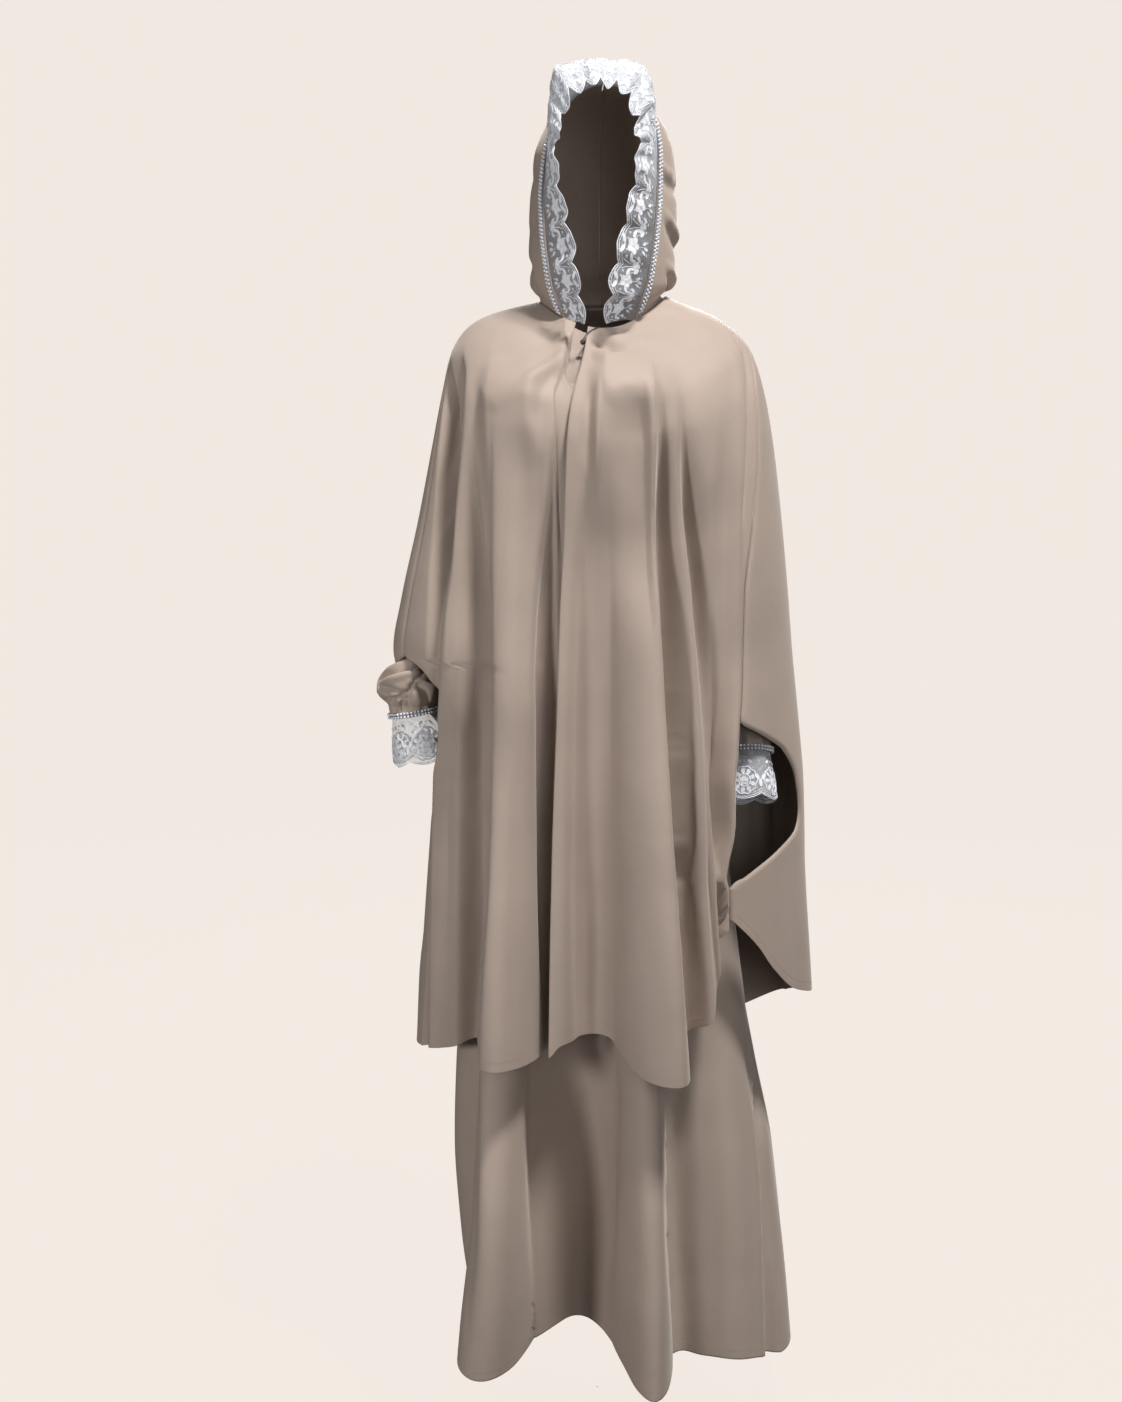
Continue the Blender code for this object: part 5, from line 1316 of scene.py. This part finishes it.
def face_line(count, column):
    """The hood at this column from the wearer's right neck, over the crown, to the left neck."""
    columns = np.array([0.0, column, 1.0])
    right, left = (hood_grid(name, 40, columns)[:, 1] for name in ("hood_right", "hood_left"))
    return evenly(np.concatenate([right[:-1], [(right[-1] + left[-1]) / 2], left[-2::-1]]), count)


def unit_rows(vectors):
    return vectors / np.linalg.norm(vectors, axis=1)[:, None]


def frill_base(edge, ahead, count, shares):
    """The hood's frill before its scallops: rows from the tape to the free edge, gently waved."""
    rows = evenly(np.array(LACE_ROWS) / MM, count)
    middle, free = rows[:, :3], rows[:, 3:]
    over = smoothstep(free[:, 2:], 0.17, 0.23)
    free = free * (1 - over * np.array([CROWN_DRAW, 0, 0])) - over * np.array([0, 0, CROWN_DROP])
    start = edge + ahead * 0.0021
    bend = 2 * middle - (start + free) / 2
    base = np.array([(1 - u) ** 2 * start + 2 * u * (1 - u) * bend + u * u * free for u in shares])
    run = run_along(base[len(shares) // 2])
    normals = outward_normals(base)
    flip = np.sign((normals * np.array([0, -1.0, 0.4])).sum(-1).mean())
    wave = 0.0022 * np.sin(run * math.tau / 0.052 + 0.7 * np.sin(run * 9))
    wave += 0.0012 * np.sin(run * math.tau / 0.023)
    base = base + normals * flip * (wave[None] * (shares[:, None] ** 1.2))[..., None]
    return base, outward_normals(base) * flip, run[-1]


def build_hood_lace(edge, ahead, count):
    shares = np.linspace(0, 1, 33)
    base, normals, length = frill_base(edge, ahead, count, shares)
    depth = float(runs(base, 0)[-1].mean())
    frill = Frill(Surface(base, normals), length, depth, int(round(length / 0.044)), 0.0085)
    net = piece(frill.net("hood_net", np.linspace(0, 1, count), shares), "lace", HOOD_NET, "hood_lace")
    return net, embroider("hood_embroidery", frill, MOTIF, SPRAYS)


def build_hood_tape(edge, ahead, count):
    """The tape along the hood's edge and its two rows of beads."""
    outward = unit_rows(np.cross(ahead, unit_rows(np.gradient(edge, axis=0))))
    outward *= np.sign((outward * (edge - np.array([SEAM_X, 0.02, 0.10]))).sum(1))[:, None]
    thick = TAPE_THICK * 0.6
    centres = edge - ahead * 0.0036 + outward * (SHELL / 2 + thick / 2 + 0.0008)
    c, o, a = (v[count // 40:count - count // 40] for v in (centres, outward, ahead))
    edges = [c + a * i * TAPE_WIDTH / 2 + o * j * thick / 2
             for i, j in ((-1, -1), (-0.95, 1), (0.95, 1), (1, -1))]
    piece(band_object("hood_band", edges), "beads", TAPE, "hood_bead_tape")
    rows = []
    for offset in (-0.0019, 0.0026):
        line = c + a * offset + o * (thick / 2 + HOOD_BEAD * 0.6)
        run = run_along(line)
        rows.append(points_at(line, run, np.arange(0.001, run[-1], HOOD_BEAD_GAP)))
    beads("hood_beads", rows, HOOD_BEAD, 11)


def build_hood_trim():
    count = 520
    edge = face_line(count, 0.0)
    ahead = unit_rows(edge - face_line(count, 0.05))
    lace = build_hood_lace(edge, ahead, count)
    build_hood_tape(edge, ahead, count)
    return lace


# ---------------------------------------------------------------- closure
def build_closure():
    loop, ball = Pieces(), Pieces()
    loop.cord(evenly(LOOP_PATH, 25), np.tile([0.0, -1.0, 0.3], (25, 1)), LOOP_SIZE, flat=1.0)
    piece(loop.build("closure_loop"), "loop", CORD, "neck_loop")
    turn, rings = np.linspace(0, math.tau, 21), 9
    for j in range(rings):
        down = math.pi * np.array([[j], [j + 1]]) / rings
        ball.patch(np.stack([np.sin(down) * np.cos(turn), -np.cos(down) * 0.8 + 0 * turn,
                             np.sin(down) * np.sin(turn)], -1) * BUTTON_SIZE + np.array(BUTTON_AT))
    piece(ball.build("closure_button"), "button", BUTTON, "neck_button")


# ---------------------------------------------------------------- hems sewn
def sew_hem(name, surface):
    """A row of stitches along the hem's turned edge, on both faces of the cloth."""
    pieces = Pieces()
    column = np.linspace(0.01, 0.99, 400)
    line, normals = surface.at(surface.row_above_hem(column, HEM_WIDTH - HEM_STEP), column)
    for side in (normals, -normals):
        stitches(pieces, line + side * HEM_SHELL * 0.5, side)
    return piece(pieces.build(name), "crepe", THREAD)


# ---------------------------------------------------------------- build
panels = {**build_cape(), **build_dress()}
cloths = {name: cloth for name, (cloth, _) in panels.items()}
cloths["sleeve_right"] = build_sleeve("sleeve_right", RIGHT_SLEEVE, -1, SLEEVE_RIGHT_CREASES)
cloths["sleeve_left"] = build_sleeve("sleeve_left", LEFT_SLEEVE, 1, SLEEVE_LEFT_CREASES)
cuffs = {"right": build_cuff("right", RIGHT_SLEEVE, -1), "left": build_cuff("left", LEFT_SLEEVE, 1)}
cloths.update(build_hood())
hood_net, hood_flowers = build_hood_trim()
build_closure()
hems = {name: sew_hem(f"{name}_hem_stitches", surface) for name, (_, surface) in panels.items()}


# ---------------------------------------------------------------- room, light and camera
def build_room():
    """A round pale room: floor, cove, wall and ceiling, so that every view has the same plain backdrop."""
    floor_z, reach, cove, height, middle = -1.56, 7.0, 1.0, 9.0, 3.0
    bend = np.linspace(0, math.pi / 2, 16)
    inner = reach - cove
    profile = [(0.001, floor_z), (middle, floor_z)]
    profile += [(inner + cove * math.sin(a), floor_z + cove - cove * math.cos(a)) for a in bend]
    profile += [(inner + cove * math.cos(a), height - cove + cove * math.sin(a)) for a in bend]
    profile += [(middle, height), (0.001, height)]
    turns = np.linspace(0, math.tau, 65)
    pieces = Pieces()
    pieces.patch(np.array([[(r * math.cos(t), r * math.sin(t), z) for t in turns] for r, z in profile]))
    room = pieces.build("backdrop")
    paper = Shader("backdrop_paper", [c * 0.02 for c in BACKDROP], 0.9, Emission_Color=(*BACKDROP, 1),
                   Emission_Strength=0.978, Specular_IOR_Level=0.0)
    room.data.materials.append(paper.material)
    room.visible_diffuse = room.visible_glossy = room.visible_shadow = False


def light(name, at, towards, size, power, colour=(1, 1, 1)):
    data = bpy.data.lights.new(name, "AREA")
    data.shape, data.size, data.energy, data.color = "DISK", size, power, colour
    lamp = bpy.data.objects.new(name, data)
    lamp.location = at
    lamp.rotation_euler = (Vector(towards) - Vector(at)).to_track_quat("-Z", "Y").to_euler()
    bpy.context.scene.collection.objects.link(lamp)


def light_world():
    world = bpy.data.worlds.new("room_light")
    bpy.context.scene.world = world
    world.use_nodes = True
    inputs = world.node_tree.nodes["Background"].inputs
    inputs[0].default_value, inputs[1].default_value = (1.0, 0.96, 0.92, 1), 0.09


def place_camera():
    """The camera stands at the height of the waist and looks down by 5.5 degrees."""
    data = bpy.data.cameras.new("camera")
    data.sensor_width, data.lens = 36.0, 38.82
    camera = bpy.data.objects.new("camera", data)
    camera.location = (-0.0536, -2.12, -0.341)
    camera.rotation_euler = (math.radians(84.5), 0, 0)
    bpy.context.scene.collection.objects.link(camera)
    bpy.context.scene.camera = camera
    bpy.context.scene.view_settings.view_transform = "Standard"


build_room()
light("key", (0.9, -1.3, 3.2), (0, 0, -0.5), 0.6, 205, (1.0, 0.975, 0.95))
light("side", (-2.15, -2.1, -0.4), (0, 0, -0.7), 0.6, 36, (1.0, 0.985, 0.98))
light("fill", (0.9, -3.0, 0.0), (0, 0, -0.6), 1.6, 18)
light("right", (2.3, -1.2, 0.2), (0.1, 0, -0.6), 0.8, 9)
light("back", (0.5, 3.2, 1.4), (0, 0, -0.5), 1.6, 105)
light_world()
place_camera()
